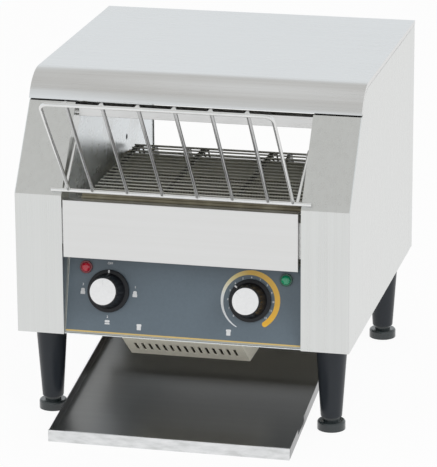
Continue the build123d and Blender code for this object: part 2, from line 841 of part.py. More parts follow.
def chain_sprocket_sketch(y, z, teeth, bore):
    """Toothed outline that turns inside the chain."""
    tip = pitch_radius(teeth) - chain_inner - chain_gap
    with Locations((y, z)):
        Circle(tip)
        with PolarLocations(tip, teeth):
            Circle(chain_roller, mode=Mode.SUBTRACT)
        Circle(bore + seat_gap, mode=Mode.SUBTRACT)


with BuildPart() as driven_sprocket:
    with BuildSketch(side(drive_x - drive_sprocket_thickness / 2)):
        chain_sprocket_sketch(front_shaft_y, shaft_z, driven_teeth, shaft_radius)
    extrude(amount=drive_sprocket_thickness)
save(driven_sprocket, "driven_sprocket")

with BuildPart() as motor_sprocket:
    with BuildSketch(side(drive_x - drive_sprocket_thickness / 2)):
        chain_sprocket_sketch(motor_y, motor_z, motor_teeth, motor_shaft_radius)
    extrude(amount=drive_sprocket_thickness)
save(motor_sprocket, "motor_sprocket")

with BuildPart() as drive_chain:
    with BuildSketch(side(drive_x - chain_width / 2)):
        for shift, mode in ((chain_outer, Mode.ADD), (-chain_inner, Mode.SUBTRACT)):
            with BuildSketch(mode=Mode.PRIVATE) as loop:
                with Locations((front_shaft_y, shaft_z)):
                    Circle(pitch_radius(driven_teeth) + shift)
                with Locations((motor_y, motor_z)):
                    Circle(pitch_radius(motor_teeth) + shift)
                make_hull()
            add(loop.sketch, mode=mode)
    extrude(amount=chain_width)
save(drive_chain, "drive_chain")

motor_back = fit_x - motor_length
boss_end = inner_x + sheet + seam
with BuildPart() as gear_motor:
    with BuildSketch(side(motor_back)):
        with Locations((motor_y, motor_z)):
            Circle(motor_radius)
    extrude(amount=motor_length)
    fillet(gear_motor.edges().group_by(Axis.X)[0], motor_round)
    with BuildSketch(side(fit_x - motor_flange_thickness)):
        with Locations((motor_y, motor_z)):
            RectangleRounded(2 * motor_radius, motor_flange, motor_corner)
    extrude(amount=motor_flange_thickness)
    with BuildSketch(side(fit_x)):
        with Locations((motor_y, motor_z)):
            Circle(motor_boss)
    extrude(amount=boss_end - fit_x)
    with BuildSketch(side(boss_end)):
        with Locations((motor_y, motor_z)):
            Circle(motor_shaft_radius + run_gap)
    extrude(amount=-(motor_shaft_depth + seam), mode=Mode.SUBTRACT)
save(gear_motor, "gear_motor")

with BuildPart() as motor_shaft:
    with BuildSketch(side(boss_end - motor_shaft_depth)):
        with Locations((motor_y, motor_z)):
            Circle(motor_shaft_radius)
    extrude(amount=motor_shaft_depth + drive_x + chain_width / 2 - boss_end)
save(motor_shaft, "motor_shaft")

# ----------------------------------------------------------------- cooling fan
fan_z = base_z + sheet
with BuildPart() as fan_frame:
    with BuildSketch(level(fan_z)):
        with Locations((0, fan_y)):
            RectangleRounded(fan_size, fan_size, fan_corner)
            Circle(fan_bore, mode=Mode.SUBTRACT)
    extrude(amount=fan_height)
    with BuildSketch(level(fan_z + fan_height)):
        with Locations((0, fan_y)):
            Circle(fan_hub)
            with PolarLocations(0, fan_struts, start_angle=90):
                with Locations(((fan_hub + fan_bore) / 2, 0)):
                    Rectangle(fan_bore - fan_hub + fan_strut, fan_strut)
    extrude(amount=-fan_strut)
    with BuildSketch(level(fan_z + fan_height - fan_strut)):
        with Locations((0, fan_y)):
            Circle(fan_pin)
    extrude(amount=-(fan_rotor_gap + fan_rotor_height + fan_pin_end))
save(fan_frame, "fan_frame")

rotor_bottom = fan_z + fan_height - fan_strut - fan_rotor_gap - fan_rotor_height
rotor_radius = fan_hub - fan_tip_gap
blade_start = rotor_radius - fan_blade_root
with BuildPart() as fan_rotor:
    with BuildSketch(level(rotor_bottom)):
        with Locations((0, fan_y)):
            Circle(rotor_radius)
    extrude(amount=fan_rotor_height)
    blade_plane = Plane(
        origin=(0, front_y + fan_y + blade_start, rotor_bottom + fan_rotor_height / 2),
        x_dir=(1, 0, 0),
        z_dir=(0, 1, 0),
    )
    with BuildSketch(blade_plane):
        Rectangle(fan_blade_chord, fan_blade_thickness, rotation=fan_blade_tilt)
    extrude(amount=fan_bore - fan_tip_gap - fan_blade_thickness - blade_start)
    first_blade = fan_rotor.part
    with Locations((0, front_y + fan_y, 0)):
        with PolarLocations(0, fan_blades):
            add(Pos(0, -front_y - fan_y, 0) * first_blade)
    with BuildSketch(level(rotor_bottom)):
        with Locations((0, fan_y)):
            Circle(fan_pin + run_gap)
    extrude(amount=fan_rotor_height, mode=Mode.SUBTRACT)
save(fan_rotor, "fan_rotor")

# ------------------------------------------------------- switches and their knobs
bushing_back = -(overlay + sheet)
with BuildPart() as selector_switch:
    with BuildSketch(panel_face(selector_x, control_v, bushing_back - seam)):
        RectangleRounded(switch_size, switch_size, switch_corner)
    extrude(amount=-switch_depth)
    with BuildSketch(panel_face(selector_x, control_v, bushing_back - seam)):
        Circle(bushing_radius)
    extrude(amount=bushing_proud - bushing_back + seam)
    with BuildSketch(panel_face(selector_x, control_v, bushing_proud)):
        Circle(spindle_radius + run_gap)
    extrude(amount=-(bushing_proud + spindle_depth + seam), mode=Mode.SUBTRACT)
save(selector_switch, "selector_switch")

with BuildPart() as speed_regulator:
    with BuildSketch(panel_face(speed_x, control_v, bushing_back - seam)):
        Circle(regulator_radius)
    extrude(amount=-regulator_depth)
    with BuildSketch(panel_face(speed_x, control_v, bushing_back - seam)):
        Circle(bushing_radius)
    extrude(amount=bushing_proud - bushing_back + seam)
    with BuildSketch(panel_face(speed_x, control_v, bushing_proud)):
        Circle(spindle_radius + run_gap)
    extrude(amount=-(bushing_proud + spindle_depth + seam), mode=Mode.SUBTRACT)
save(speed_regulator, "speed_regulator")

spindle_end = knob_height - knob_cover
for name, x, pointer in (
    ("selector", selector_x, selector_pointer),
    ("speed", speed_x, speed_pointer),
):
    with BuildPart() as spindle:
        with BuildSketch(panel_face(x, control_v, -spindle_depth)):
            Circle(spindle_radius)
        extrude(amount=spindle_depth + spindle_end - seam)
    save(spindle, f"{name}_spindle")
    with BuildPart() as knob:
        with BuildSketch(panel_face(x, control_v, knob_gap)):
            Circle(skirt_radius)
        extrude(amount=skirt_height - knob_gap)
        fillet(knob.edges().filter_by(GeomType.CIRCLE), knob_edge)
        with BuildSketch(panel_face(x, control_v, skirt_height)):
            Circle(knob_base_radius)
        with BuildSketch(panel_face(x, control_v, knob_height)):
            Circle(knob_top_radius)
        loft()
        with BuildSketch(panel_face(x, control_v, knob_height)):
            Circle(cap_radius + seat_gap)
        extrude(amount=-cap_thickness, mode=Mode.SUBTRACT)
        with BuildSketch(panel_face(x, control_v, knob_gap)):
            Circle(bushing_radius + knob_socket_gap)
        extrude(amount=bushing_proud + seam, mode=Mode.SUBTRACT)
        with BuildSketch(panel_face(x, control_v, knob_gap)):
            Circle(spindle_radius + seat_gap)
        extrude(amount=spindle_end - knob_gap, mode=Mode.SUBTRACT)
        with BuildSketch(panel_face(x, control_v, skirt_height)):
            pointer_end = skirt_radius - pointer_margin
            with PolarLocations((pointer_start + pointer_end) / 2, 1, start_angle=90 + pointer):
                Rectangle(pointer_end - pointer_start, pointer_width)
        extrude(amount=pointer_height)
    save(knob, f"{name}_knob")
    with BuildPart() as knob_cap:
        with BuildSketch(panel_face(x, control_v, knob_height - cap_thickness)):
            Circle(cap_radius)
        extrude(amount=cap_thickness + cap_proud)
        outer_edge = knob_cap.edges().filter_by(GeomType.CIRCLE).sort_by(Axis.Y)[0]
        fillet(outer_edge, cap_edge)
        with BuildSketch(panel_face(x, control_v, knob_height + cap_proud)):
            mark_middle = cap_mark_start + cap_mark_length / 2
            with PolarLocations(mark_middle, 1, start_angle=90 + pointer):
                Rectangle(cap_mark_length, cap_mark_width)
        extrude(amount=-cap_mark_depth, mode=Mode.SUBTRACT)
    save(knob_cap, f"{name}_knob_cap")

# -------------------------------------------------------------- pilot lamps
for colour, x in (("red", -lamp_x), ("green", lamp_x)):
    with BuildPart() as lamp_bezel:
        with BuildSketch(panel_face(x, lamp_v, seam)):
            Circle(lamp_bezel_radius)
        extrude(amount=lamp_bezel_height)
        fillet(lamp_bezel.edges().filter_by(GeomType.CIRCLE).sort_by(Axis.Y)[0], lamp_bezel_round)
        with BuildSketch(panel_face(x, lamp_v, seam)):
            Circle(lamp_neck_radius)
        extrude(amount=-lamp_neck_length)
        with BuildSketch(panel_face(x, lamp_v, lamp_seat)):
            Circle(lamp_lens_radius + seat_gap)
        extrude(amount=lamp_bezel_height, mode=Mode.SUBTRACT)
    save(lamp_bezel, f"{colour}_lamp_bezel")
    with BuildPart() as lamp_lens:
        with BuildSketch(panel_face(x, lamp_v, lamp_seat)):
            Circle(lamp_lens_radius)
        extrude(amount=lamp_lens_height)
        crown_edge = lamp_lens.edges().filter_by(GeomType.CIRCLE).sort_by(Axis.Y)[0]
        fillet(crown_edge, lamp_lens_round)
    save(lamp_lens, f"{colour}_lamp_lens")

# ---------------------------------------------------------------- toast slide
with BuildPart() as toast_slide:
    neck_x = fit_x - slide_neck
    with BuildSketch(side(-fit_x)):
        strip(slide_z, slide_neck_y, slide_top_y, sheet)
    extrude(amount=2 * fit_x)
    with BuildSketch(side(-neck_x)):
        strip(slide_z, slide_foot_y, slide_neck_y, sheet)
    extrude(amount=2 * neck_x)
    for x in (-fit_x, fit_x - sheet):
        with BuildSketch(side(x)):
            strip(slide_z, slide_neck_y, slide_top_y, slide_flange)
        extrude(amount=sheet)
    for x in (-neck_x, neck_x - sheet):
        with BuildSketch(side(x)):
            strip(slide_z, slide_foot_y, slide_neck_y + sheet, slide_flange)
        extrude(amount=sheet)
save(toast_slide, "toast_slide")

# --------------------------------------------------------- tray and its guides
with BuildPart() as collection_tray:
    tray_half = tray_width / 2
    with BuildSketch(side(-tray_half)):
        strip(tray_z, -tray_reach, tray_rear_y, sheet)
    extrude(amount=tray_width)
    with BuildSketch(side(-tray_half)):
        rectangle(-tray_reach, 0, tray_hem - tray_reach, tray_lip)
    extrude(amount=tray_width)
    wall_start = tray_hem + tray_wall_gap - tray_reach
    for x in (-tray_half, tray_half - sheet):
        with BuildSketch(side(x)):
            strip(tray_z, wall_start, tray_rear_y, tray_wall)
        extrude(amount=sheet)
    notch_y = tray_notch_start - tray_reach
    with BuildSketch(side(tray_half - sheet)):
        notch_end = notch_y + tray_notch_length
        outline(
            (notch_y, tray_z(notch_y) + tray_notch_depth),
            (notch_end, tray_z(notch_end) + tray_notch_depth),
            (notch_end, tray_z(notch_end) + 2 * tray_wall),
            (notch_y, tray_z(notch_y) + 2 * tray_wall),
        )
    extrude(amount=sheet, mode=Mode.SUBTRACT)
save(collection_tray, "collection_tray")

with BuildPart() as tray_guides:
    guide_rear_y = guide_front_y + guide_length
    guide_x = tray_width / 2 + guide_gap

    def guide_line(y):
        """Underside of the shelf that carries the tray."""
        return tray_z(y) - guide_rest - sheet

    with BuildSketch(side(guide_x)):
        outline(
            (guide_front_y, guide_line(guide_front_y)),
            (guide_rear_y, guide_line(guide_rear_y)),
            (guide_rear_y, base_z),
            (guide_front_y, base_z),
        )
    extrude(amount=sheet)
    with BuildSketch(side(guide_x - guide_shelf)):
        strip(guide_line, guide_front_y, guide_rear_y, sheet)
    extrude(amount=guide_shelf + sheet)
    with BuildSketch(side(guide_x)):
        rectangle(guide_front_y, base_z - sheet, guide_rear_y, base_z)
    extrude(amount=guide_flange)
    mirror(about=Plane.YZ)
save(tray_guides, "tray_guides")

# ------------------------------------------------------------------ feed rack
rack_plane = Plane(
    origin=(0, front_y + rack_y, rack_z),
    x_dir=(1, 0, 0),
    z_dir=(0, -lean_z, lean_y),
)

with BuildPart() as rack_guard_frame:
    with BuildLine(rack_plane):
        guard_start = rack_bar / 2 + weld_gap
        guard_path = FilletPolyline(
            (-rack_half, guard_start),
            (-rack_half, rack_height),
            (rack_half, rack_height),
            (rack_half, guard_start),
            radius=rack_corner,
        )
    with BuildSketch(Plane(origin=guard_path @ 0, z_dir=guard_path % 0)):
        Circle(rack_wire / 2)
    sweep()
save(rack_guard_frame, "rack_guard_frame")

# The rods stand on the bottom rod and are welded to the back of the guard's top bar.
with BuildPart() as rack_guard_rods:
    rod_foot = rack_plane.from_local_coords((0, guard_start, 0))
    rod_head = rack_plane.from_local_coords((0, rack_height, -rack_wire - weld_gap))
    rod_run = rod_head - rod_foot
    with BuildSketch(Plane(origin=rod_foot, x_dir=(1, 0, 0), z_dir=rod_run)):
        with GridLocations(rack_pitch, 0, rack_rods, 1):
            Circle(rack_wire / 2)
    extrude(amount=rod_run.length)
save(rack_guard_rods, "rack_guard_rods")

with BuildPart() as rack_base:
    with BuildSketch(Plane.YZ.offset(-rack_bar_length / 2)):
        with Locations((front_y + rack_y, rack_z)):
            Circle(rack_bar / 2)
    extrude(amount=rack_bar_length)
    slope_plane = Plane(
        origin=(0, front_y + rack_y, rack_z),
        x_dir=(1, 0, 0),
        z_dir=(0, -up_z, up_y),
    )
    for sign in (-1, 1):
        with BuildLine(slope_plane):
            arm = Line((sign * arm_foot_x, 0, 0), (sign * arm_side_x, arm_rise, -arm_depth))
        with BuildSketch(Plane(origin=arm @ 0, z_dir=arm % 0)):
            Circle(rack_wire / 2)
        extrude(amount=arm.length)
save(rack_base, "rack_base")

# ------------------------------------------------------- legs, feet and bolts
for corner, (x, y) in leg_places.items():
    upright = Plane(origin=(x, front_y + y, 0), x_dir=(1, 0, 0), z_dir=(0, -1, 0))
    centre = Axis((x, front_y + y, 0), (0, 0, 1))
    with BuildPart() as leg:
        with BuildSketch(upright):
            bolt_hole = leg_bolt_radius + seat_gap
            bolt_end = base_z - leg_bolt_length - sheet
            stud_bore = stud_radius + run_gap
            bore_end = leg_shoulder + stud_bore_depth
            outline(
                (stud_bore, leg_shoulder),
                (leg_bottom_radius, leg_shoulder),
                (leg_top_radius, base_z),
                (bolt_hole, base_z),
                (bolt_hole, bolt_end),
                (0, bolt_end),
                (0, bore_end),
                (stud_bore, bore_end),
            )
        revolve(axis=centre)
    save(leg, f"{corner}_leg")
    with BuildPart() as foot:
        with BuildSketch(level(0)):
            with Locations((x, y)):
                Circle(foot_radius)
        extrude(amount=foot_thickness)
        fillet(foot.edges().group_by(Axis.Z)[-1], foot_round)
        with BuildSketch(level(0)):
            with Locations((x, y)):
                Circle(foot_neck_radius)
        extrude(amount=leg_shoulder - foot_rest)
        with BuildSketch(level(0)):
            with Locations((x, y)):
                Circle(stud_radius)
        extrude(amount=leg_shoulder + stud_length)
    save(foot, f"{corner}_foot")

with BuildPart() as leg_bolts:
    with BuildSketch(level(base_z + sheet)):
        with Locations(*leg_places.values()):
            RegularPolygon(leg_bolt_head, 6)
    extrude(amount=leg_bolt_head_height)
    with BuildSketch(level(base_z + sheet)):
        with Locations(*leg_places.values()):
            Circle(leg_bolt_radius)
    extrude(amount=-leg_bolt_length)
save(leg_bolts, "leg_bolts")

with BuildPart() as case_screws:
    with BuildSketch(facing(depth)):
        with Locations(*screw_places):
            Circle(screw_head)
    extrude(amount=-screw_head_height)
    fillet(case_screws.edges().group_by(Axis.Y)[-1], screw_round)
    with BuildSketch(facing(depth)):
        with Locations(*screw_places):
            Circle(screw_radius)
    extrude(amount=screw_length)
save(case_screws, "case_screws")

with BuildPart() as cable_gland:
    with BuildSketch(facing(depth)):
        with Locations((gland_x, base_z + gland_height)):
            RegularPolygon(gland_nut, 6)
    extrude(amount=-gland_nut_height)
    with BuildSketch(facing(depth)):
        with Locations((gland_x, base_z + gland_height)):
            Circle(gland_cap_radius)
    extrude(amount=-gland_proud)
    fillet(cable_gland.edges().group_by(Axis.Y)[-1], gland_round)
    with BuildSketch(facing(depth)):
        with Locations((gland_x, base_z + gland_height)):
            Circle(gland_radius)
    extrude(amount=gland_inside)
    with BuildSketch(facing(depth + gland_proud)):
        with Locations((gland_x, base_z + gland_height)):
            Circle(gland_bore)
    extrude(amount=gland_proud + gland_inside, mode=Mode.SUBTRACT)
save(cable_gland, "cable_gland")
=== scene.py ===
import json
from math import cos, degrees, pi, radians, sin

import bmesh
import bpy
from mathutils import Matrix, Vector


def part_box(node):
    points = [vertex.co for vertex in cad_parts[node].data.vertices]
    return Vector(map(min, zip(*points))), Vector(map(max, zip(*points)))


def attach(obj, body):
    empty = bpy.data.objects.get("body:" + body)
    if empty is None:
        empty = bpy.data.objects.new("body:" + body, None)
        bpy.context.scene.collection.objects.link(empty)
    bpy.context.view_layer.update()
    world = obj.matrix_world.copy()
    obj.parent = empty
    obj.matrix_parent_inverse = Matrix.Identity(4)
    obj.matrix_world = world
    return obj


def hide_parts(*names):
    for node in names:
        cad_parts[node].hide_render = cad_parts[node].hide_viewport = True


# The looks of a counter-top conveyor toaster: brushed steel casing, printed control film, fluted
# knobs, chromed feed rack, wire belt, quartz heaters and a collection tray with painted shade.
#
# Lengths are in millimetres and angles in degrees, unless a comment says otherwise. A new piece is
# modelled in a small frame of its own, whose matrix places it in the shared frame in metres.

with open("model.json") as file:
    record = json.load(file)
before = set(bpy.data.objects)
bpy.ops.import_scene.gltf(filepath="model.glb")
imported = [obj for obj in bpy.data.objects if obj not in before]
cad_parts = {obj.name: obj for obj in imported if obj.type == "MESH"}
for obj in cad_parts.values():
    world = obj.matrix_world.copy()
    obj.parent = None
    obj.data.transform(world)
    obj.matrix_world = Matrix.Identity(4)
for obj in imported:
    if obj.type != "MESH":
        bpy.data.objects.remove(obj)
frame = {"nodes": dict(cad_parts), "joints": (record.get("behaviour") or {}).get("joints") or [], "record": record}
nodes = frame["nodes"]
joints = {joint["name"]: joint for joint in frame["joints"]}
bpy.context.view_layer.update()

MM = 0.001
ACROSS = Vector((1, 0, 0))

# ------------------------------------------------------------------- sizes
front_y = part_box("left_side_panel")[0].y / MM  # the column faces

picture_height = 467  # pixels, its longer side
sensor = 36.0  # spans that side
focal_pixels = 3039.38
camera_azimuth = radians(13.214)
camera_elevation = radians(17.105)
camera_roll = radians(-0.302)
camera_distance = 3393.9
camera_target = (7.128, 148.47, 179.885)  # y counts from the column faces
far_clip = 100  # metres

floor_reach = 12.0  # metres, half its side
floor_drop = 0.4  # under the feet
floor_whiteness = 0.94  # share of plain white in what a camera or a mirror sees
fill_strength = 0.62  # of the even light from all round
lamp_aim = (0, 0, 0.2)  # metres

crease_angle = 35.0  # edges that turn more are shaded sharp
wire_crease = 50.0
coil_crease = 60.0
corner_steps = 4
spin_merge = 1e-4  # points nearer than this are one
curve_merge = 1e-5
wire_roundness = 2  # a section of 8 sides
coil_roundness = 0  # a section of 4 sides
relief_depth = 0.3  # of the bumps at full strength
smudge_shade = 0.82  # of a plastic's colour
sheet_edge = 0.3  # rounding of the sheets' edges
sheet_edge_steps = 2
sheet_edge_angle = 40.0
sheet_weld = 1e-6  # metres

print_thickness = 0.05
print_lift = 0.02  # ink over the film
letter_steps = 3
stripe_width = 1.6
stripe_rise = 0.2  # film's lower edge to the stripe
ring_outer = 32.7
ring_width = 5.9
ring_tail = 0.9  # its width at the thin end
ring_start = -155.0  # degrees from twelve o'clock
ring_sweep = 300.0
ring_growth = 190.0  # degrees over which it widens
ring_swell = 0.8  # under 1 it widens fastest at the start
ring_steps = 100
ring_tip_sides = 32
ring_tip_share = 0.8  # of the print's thickness, under the ring's face where they overlap
dial_start = -135.0
dial_step = 22.5
dial_marks = 13
digit_radius = 24.9
digit_height = 2.9
label_height = 3.4
stroke_growth = 0.09  # makes small print bolder
# The plates of a printed mark, each as (width, height, corner, middle, lift).
toast_plates = ((4.6, 5.2, 0.5, -0.8, 0.0), (5.6, 2.6, 1.1, 1.9, 0.01))
standing_slice_plates = ((4.1, 5.4, 1.4, 0.7, 0.0), (5.2, 3.2, 0.5, -1.6, 0.01))
bun_plates = ((5.6, 2.7, 1.3, 1.0, 0.0), (5.6, 1.5, 0.5, -1.6, 0.0))

skirt_radius = 23.25
skirt_height = 4.5
skirt_gap = 0.4  # over the film
hub_radius = 6.0
hub_start = 2.6
spindle_hole = 3.05  # radius
spindle_hole_end = 22.4
knob_height = 26.0
cap_hole = 14.62  # radius
cap_floor = 24.8
cap_seat = 14.9  # flutes stay outside the cap's seat
pointer_width = 1.7
pointer_start = 19.4  # from the knob's axis
pointer_end = 22.9
pointer_thickness = 0.3
pointer_corner = 0.4
speed_rest = 48.0  # degrees to the left of upright
lamp_u = 111.0  # lamps from the middle of the panel
lamp_v = 24.6  # and above the knobs' axes
lens_seat = 1.0  # over the film
lens_radius = 5.2
lens_height = 4.2
lens_rim = 1.2  # upright rim under the dome
lens_steps = 8
lens_sides = 40
flute_count = 16
flute_steps = 10
flute_depth = 0.9
flute_low = 6.0
flute_high = 24.5

belt_strands = 48
sprocket_teeth = 10
belt_wire = 1.0  # radius
belt_half = 123.0
belt_links = (-119.0, -40.5, 40.5, 119.0)
link_half = 2.6
link_dip = 2.1  # a link passes under the next strand
link_reach = 1.4  # and this far past it

coil_radius = 2.6
coil_wire = 0.35
coil_pitch = 3.2
coil_sides = 10
tube_inset = 14.0
tube_reach = 11.0  # points nearer than this belong to one tube

rack_rods = 6
rack_wire = 4.0
bead_radius = 2.0
bead_shape = (1.35, 1.0, 1.0)
bead_sides = 12
bead_rings = 8

tray_hem = 2.0  # folded edge at the tray's front


# ------------------------------------------------------------- small helpers
def local_frame(origin, x_axis, z_axis):
    """Matrix of a frame at `origin`, in metres, whose own units are millimetres."""
    z = Vector(z_axis).normalized()
    y = z.cross(Vector(x_axis)).normalized()
    x = y.cross(z)
    turn = Matrix((x, y, z)).transposed().to_4x4()
    return Matrix.Translation(origin) @ turn @ Matrix.Scale(MM, 4)


def shift(x=0.0, y=0.0, z=0.0):
    """Matrix of a plain move."""
    return Matrix.Translation((x, y, z))


def gather(target, shape, place):
    """Adds a placed shape to another and frees it."""
    shape.transform(place)
    carrier = bpy.data.meshes.new("carrier")
    shape.to_mesh(carrier)
    shape.free()
    target.from_mesh(carrier)
    bpy.data.meshes.remove(carrier)


def piece(name, shape, place, body, material, crease=crease_angle):
    """Turns a shape into a finished piece that rides on a body."""
    shape.transform(place)
    mesh = bpy.data.meshes.new(name)
    shape.to_mesh(mesh)
    shape.free()
    mesh.shade_smooth()
    mesh.set_sharp_from_angle(angle=radians(crease))
    mesh.materials.append(material)
    made = bpy.data.objects.new(name, mesh)
    bpy.context.scene.collection.objects.link(made)
    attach(made, body)
    return made


def turned(profile, steps):
    """A solid spun round Z from (radius, height) points, the first and last on the axis."""
    shape = bmesh.new()
    corners = [shape.verts.new((radius, 0, height)) for radius, height in profile]
    edges = [shape.edges.new(pair) for pair in zip(corners, corners[1:])]
    bmesh.ops.spin(
        shape,
        geom=corners + edges,
        cent=(0, 0, 0),
        axis=(0, 0, 1),
        angle=2 * pi,
        steps=steps,
        use_merge=True,
    )
    bmesh.ops.remove_doubles(shape, verts=shape.verts, dist=spin_merge)
    bmesh.ops.holes_fill(shape, edges=shape.edges, sides=0)
    bmesh.ops.recalc_face_normals(shape, faces=shape.faces)
    return shape


def slab(width, height, thickness, corner=0.0):
    """A plate on Z = 0 with rounded upright edges."""
    shape = bmesh.new()
    bmesh.ops.create_cube(shape, size=1.0)
    bmesh.ops.scale(shape, vec=(width, height, thickness), verts=shape.verts)
    bmesh.ops.translate(shape, vec=(0, 0, thickness / 2), verts=shape.verts)
    if corner:
        upright = [
            edge
            for edge in shape.edges
            if abs(edge.verts[0].co.z - edge.verts[1].co.z) > thickness / 2
        ]
        bmesh.ops.bevel(
            shape,
            geom=upright,
            offset=corner,
            segments=corner_steps,
            profile=0.5,
            affect="EDGES",
            material=-1,
        )
    return shape


def wire_mesh(points, radius, roundness=wire_roundness):
    """A round wire along straight runs between points, as a shape."""
    line = bpy.data.curves.new("wire", "CURVE")
    line.dimensions = "3D"
    line.bevel_depth = radius
    line.bevel_resolution = roundness
    line.use_fill_caps = True
    run = line.splines.new("POLY")
    run.points.add(len(points) - 1)
    for point, place in zip(run.points, points):
        point.co = (*place, 1)
    return curve_shape(line)


def curve_shape(curve):
    """The mesh of a curve or text, as a shape; the curve is removed."""
    carrier = bpy.data.objects.new(curve.name, curve)
    bpy.context.scene.collection.objects.link(carrier)
    evaluated = carrier.evaluated_get(bpy.context.evaluated_depsgraph_get())
    mesh = bpy.data.meshes.new_from_object(evaluated)
    shape = bmesh.new()
    shape.from_mesh(mesh)
    bpy.data.meshes.remove(mesh)
    bpy.data.objects.remove(carrier)
    bpy.data.curves.remove(curve)
    bmesh.ops.remove_doubles(shape, verts=shape.verts, dist=curve_merge)
    return shape


def lettering(text, height):
    """Plain digits or letters, centred, as a thin solid."""
    curve = bpy.data.curves.new("lettering", "FONT")
    curve.body = text
    curve.size = height
    curve.align_x = "CENTER"
    curve.align_y = "CENTER"
    curve.resolution_u = letter_steps
    curve.extrude = print_thickness / 2
    curve.offset = stroke_growth
    return curve_shape(curve)


# ------------------------------------------------------------ shader networks
class Network:
    """Short calls that add linked nodes to one node tree."""

    def __init__(self, tree):
        self.tree = tree

    def node(self, kind, inputs=None, **settings):
        """A new node with its settings, its inputs linked or set."""
        made = self.tree.nodes.new(kind)
        for name, value in settings.items():
            setattr(made, name, value)
        for name, value in (inputs or {}).items():
            self.feed(made.inputs[name], value)
        return made

    def feed(self, socket, value):
        """Links another socket to this one, or sets a plain value."""
        if isinstance(value, bpy.types.NodeSocket):
            self.tree.links.new(value, socket)
        else:
            socket.default_value = value

    def math(self, operation, first, second):
        """The result of one operation on two values."""
        made = self.node("ShaderNodeMath", {0: first, 1: second}, operation=operation)
        return made.outputs[0]

    def noise(self, vector, detail):
        """Cloudy noise, 0 to 1, about one wave to a unit of the vector."""
        made = self.node(
            "ShaderNodeTexNoise",
            {"Vector": vector, "Scale": 1.0, "Detail": detail, "Roughness": 0.6},
        )
        return made.outputs["Fac"]

    def stretched(self, vector, scale):
        """A vector times another, axis by axis."""
        made = self.node("ShaderNodeVectorMath", {0: vector, 1: scale}, operation="MULTIPLY")
        return made.outputs[0]

    def ramp(self, factor, stops):
        """A colour that runs through (place, colour) stops."""
        made = self.node("ShaderNodeValToRGB", {"Fac": factor})
        marks = made.color_ramp.elements
        while len(marks) < len(stops):
            marks.new(0.5)
        for mark, (place, colour) in zip(marks, stops):
            mark.position = place
            mark.color = (*colour, 1)
        return made.outputs["Color"]

    def spread(self, value, low, high, from_low=0.0, from_high=1.0):
        """A value spread from one range to another, clamped."""
        made = self.node(
            "ShaderNodeMapRange",
            {
                "Value": value,
                "From Min": from_low,
                "From Max": from_high,
                "To Min": low,
                "To Max": high,
            },
        )
        return made.outputs["Result"]


def pattern(name, layers):
    """A group that blends noise layers into a Tone and a Relief, both 0 to 1.

    A layer is (share of Stretch, even waves, weight in the tone, weight in the relief, detail).
    With no even waves it follows Stretch's own directions, and otherwise it is the same every
    way, at that many waves a metre.
    """
    group = bpy.data.node_groups.new(name, "ShaderNodeTree")
    group.interface.new_socket("Stretch", in_out="INPUT", socket_type="NodeSocketVector")
    group.interface.new_socket("Contrast", in_out="INPUT", socket_type="NodeSocketFloat")
    group.interface.new_socket("Tone", in_out="OUTPUT", socket_type="NodeSocketFloat")
    group.interface.new_socket("Relief", in_out="OUTPUT", socket_type="NodeSocketFloat")
    net = Network(group)
    given = net.node("NodeGroupInput")
    place = net.node("ShaderNodeTexCoord").outputs["Object"]
    tone = 0.0
    relief = 0.0
    for share, even_waves, tone_weight, relief_weight, detail in layers:
        if even_waves:
            scaled = net.stretched(place, (even_waves,) * 3)
        else:
            scaled = net.stretched(net.stretched(place, given.outputs["Stretch"]), (share,) * 3)
        layer = net.noise(scaled, detail)
        tone = net.math("ADD", tone, net.math("MULTIPLY", layer, tone_weight))
        relief = net.math("ADD", relief, net.math("MULTIPLY", layer, relief_weight))
    centred = net.math("MULTIPLY", net.math("SUBTRACT", tone, 0.5), given.outputs["Contrast"])
    clamped = net.spread(net.math("ADD", centred, 0.5), 0.0, 1.0)
    net.node("NodeGroupOutput", {"Tone": clamped, "Relief": relief})
    return group


brushing = pattern(
    "brushing",
    [
        (1.0, 0, 0.4, 1.0, 3.0),
        (0.07, 0, 0.35, 0.0, 1.0),
        (0.0, 9.0, 0.25, 0.0, 2.0),
    ],
)
moulding = pattern(
    "moulding",
    [
        (0.0, 2600.0, 0.3, 0.8, 2.0),
        (0.0, 300.0, 0.3, 0.2, 2.0),
        (0.0, 22.0, 0.4, 0.0, 3.0),
    ],
)
heat_stain = pattern(
    "heat_stain",
    [
        (1.0, 0, 0.2, 1.0, 3.0),
        (0.0, 14.0, 0.5, 0.0, 3.0),
        (0.0, 60.0, 0.3, 0.0, 2.0),
    ],
)

# Waves a metre along x, y and z: few along the grain and many across it.
UPRIGHT = (2400.0, 2400.0, 9.0)
LEVEL = (9.0, 2400.0, 2400.0)
LENGTHWISE = (2400.0, 9.0, 2400.0)
EVEN = (900.0, 900.0, 900.0)
BLOTCHES = (45.0, 160.0, 160.0)


def surface(name, group, stretch, tones, roughness, relief, contrast=2.2, **sockets):
    """A material whose colour, roughness and relief follow a pattern."""
    material = bpy.data.materials.new(name)
    material.use_nodes = True
    material.node_tree.nodes.clear()
    net = Network(material.node_tree)
    worn = net.node("ShaderNodeGroup", node_tree=group)
    worn.inputs["Stretch"].default_value = stretch
    worn.inputs["Contrast"].default_value = contrast
    last = len(tones) - 1
    stops = [(number / last, colour) for number, colour in enumerate(tones)]
    bump = net.node(
        "ShaderNodeBump",
        {"Height": worn.outputs["Relief"], "Strength": relief, "Distance": relief_depth * MM},
    )
    shader = net.node(
        "ShaderNodeBsdfPrincipled",
        {
            "Base Color": net.ramp(worn.outputs["Tone"], stops),
            "Roughness": net.spread(worn.outputs["Tone"], *roughness),
            "Normal": bump.outputs["Normal"],
        },
    )
    for socket, value in sockets.items():
        shader.inputs[socket.replace("_", " ")].default_value = value
    net.node("ShaderNodeOutputMaterial", {"Surface": shader.outputs["BSDF"]})
    return material


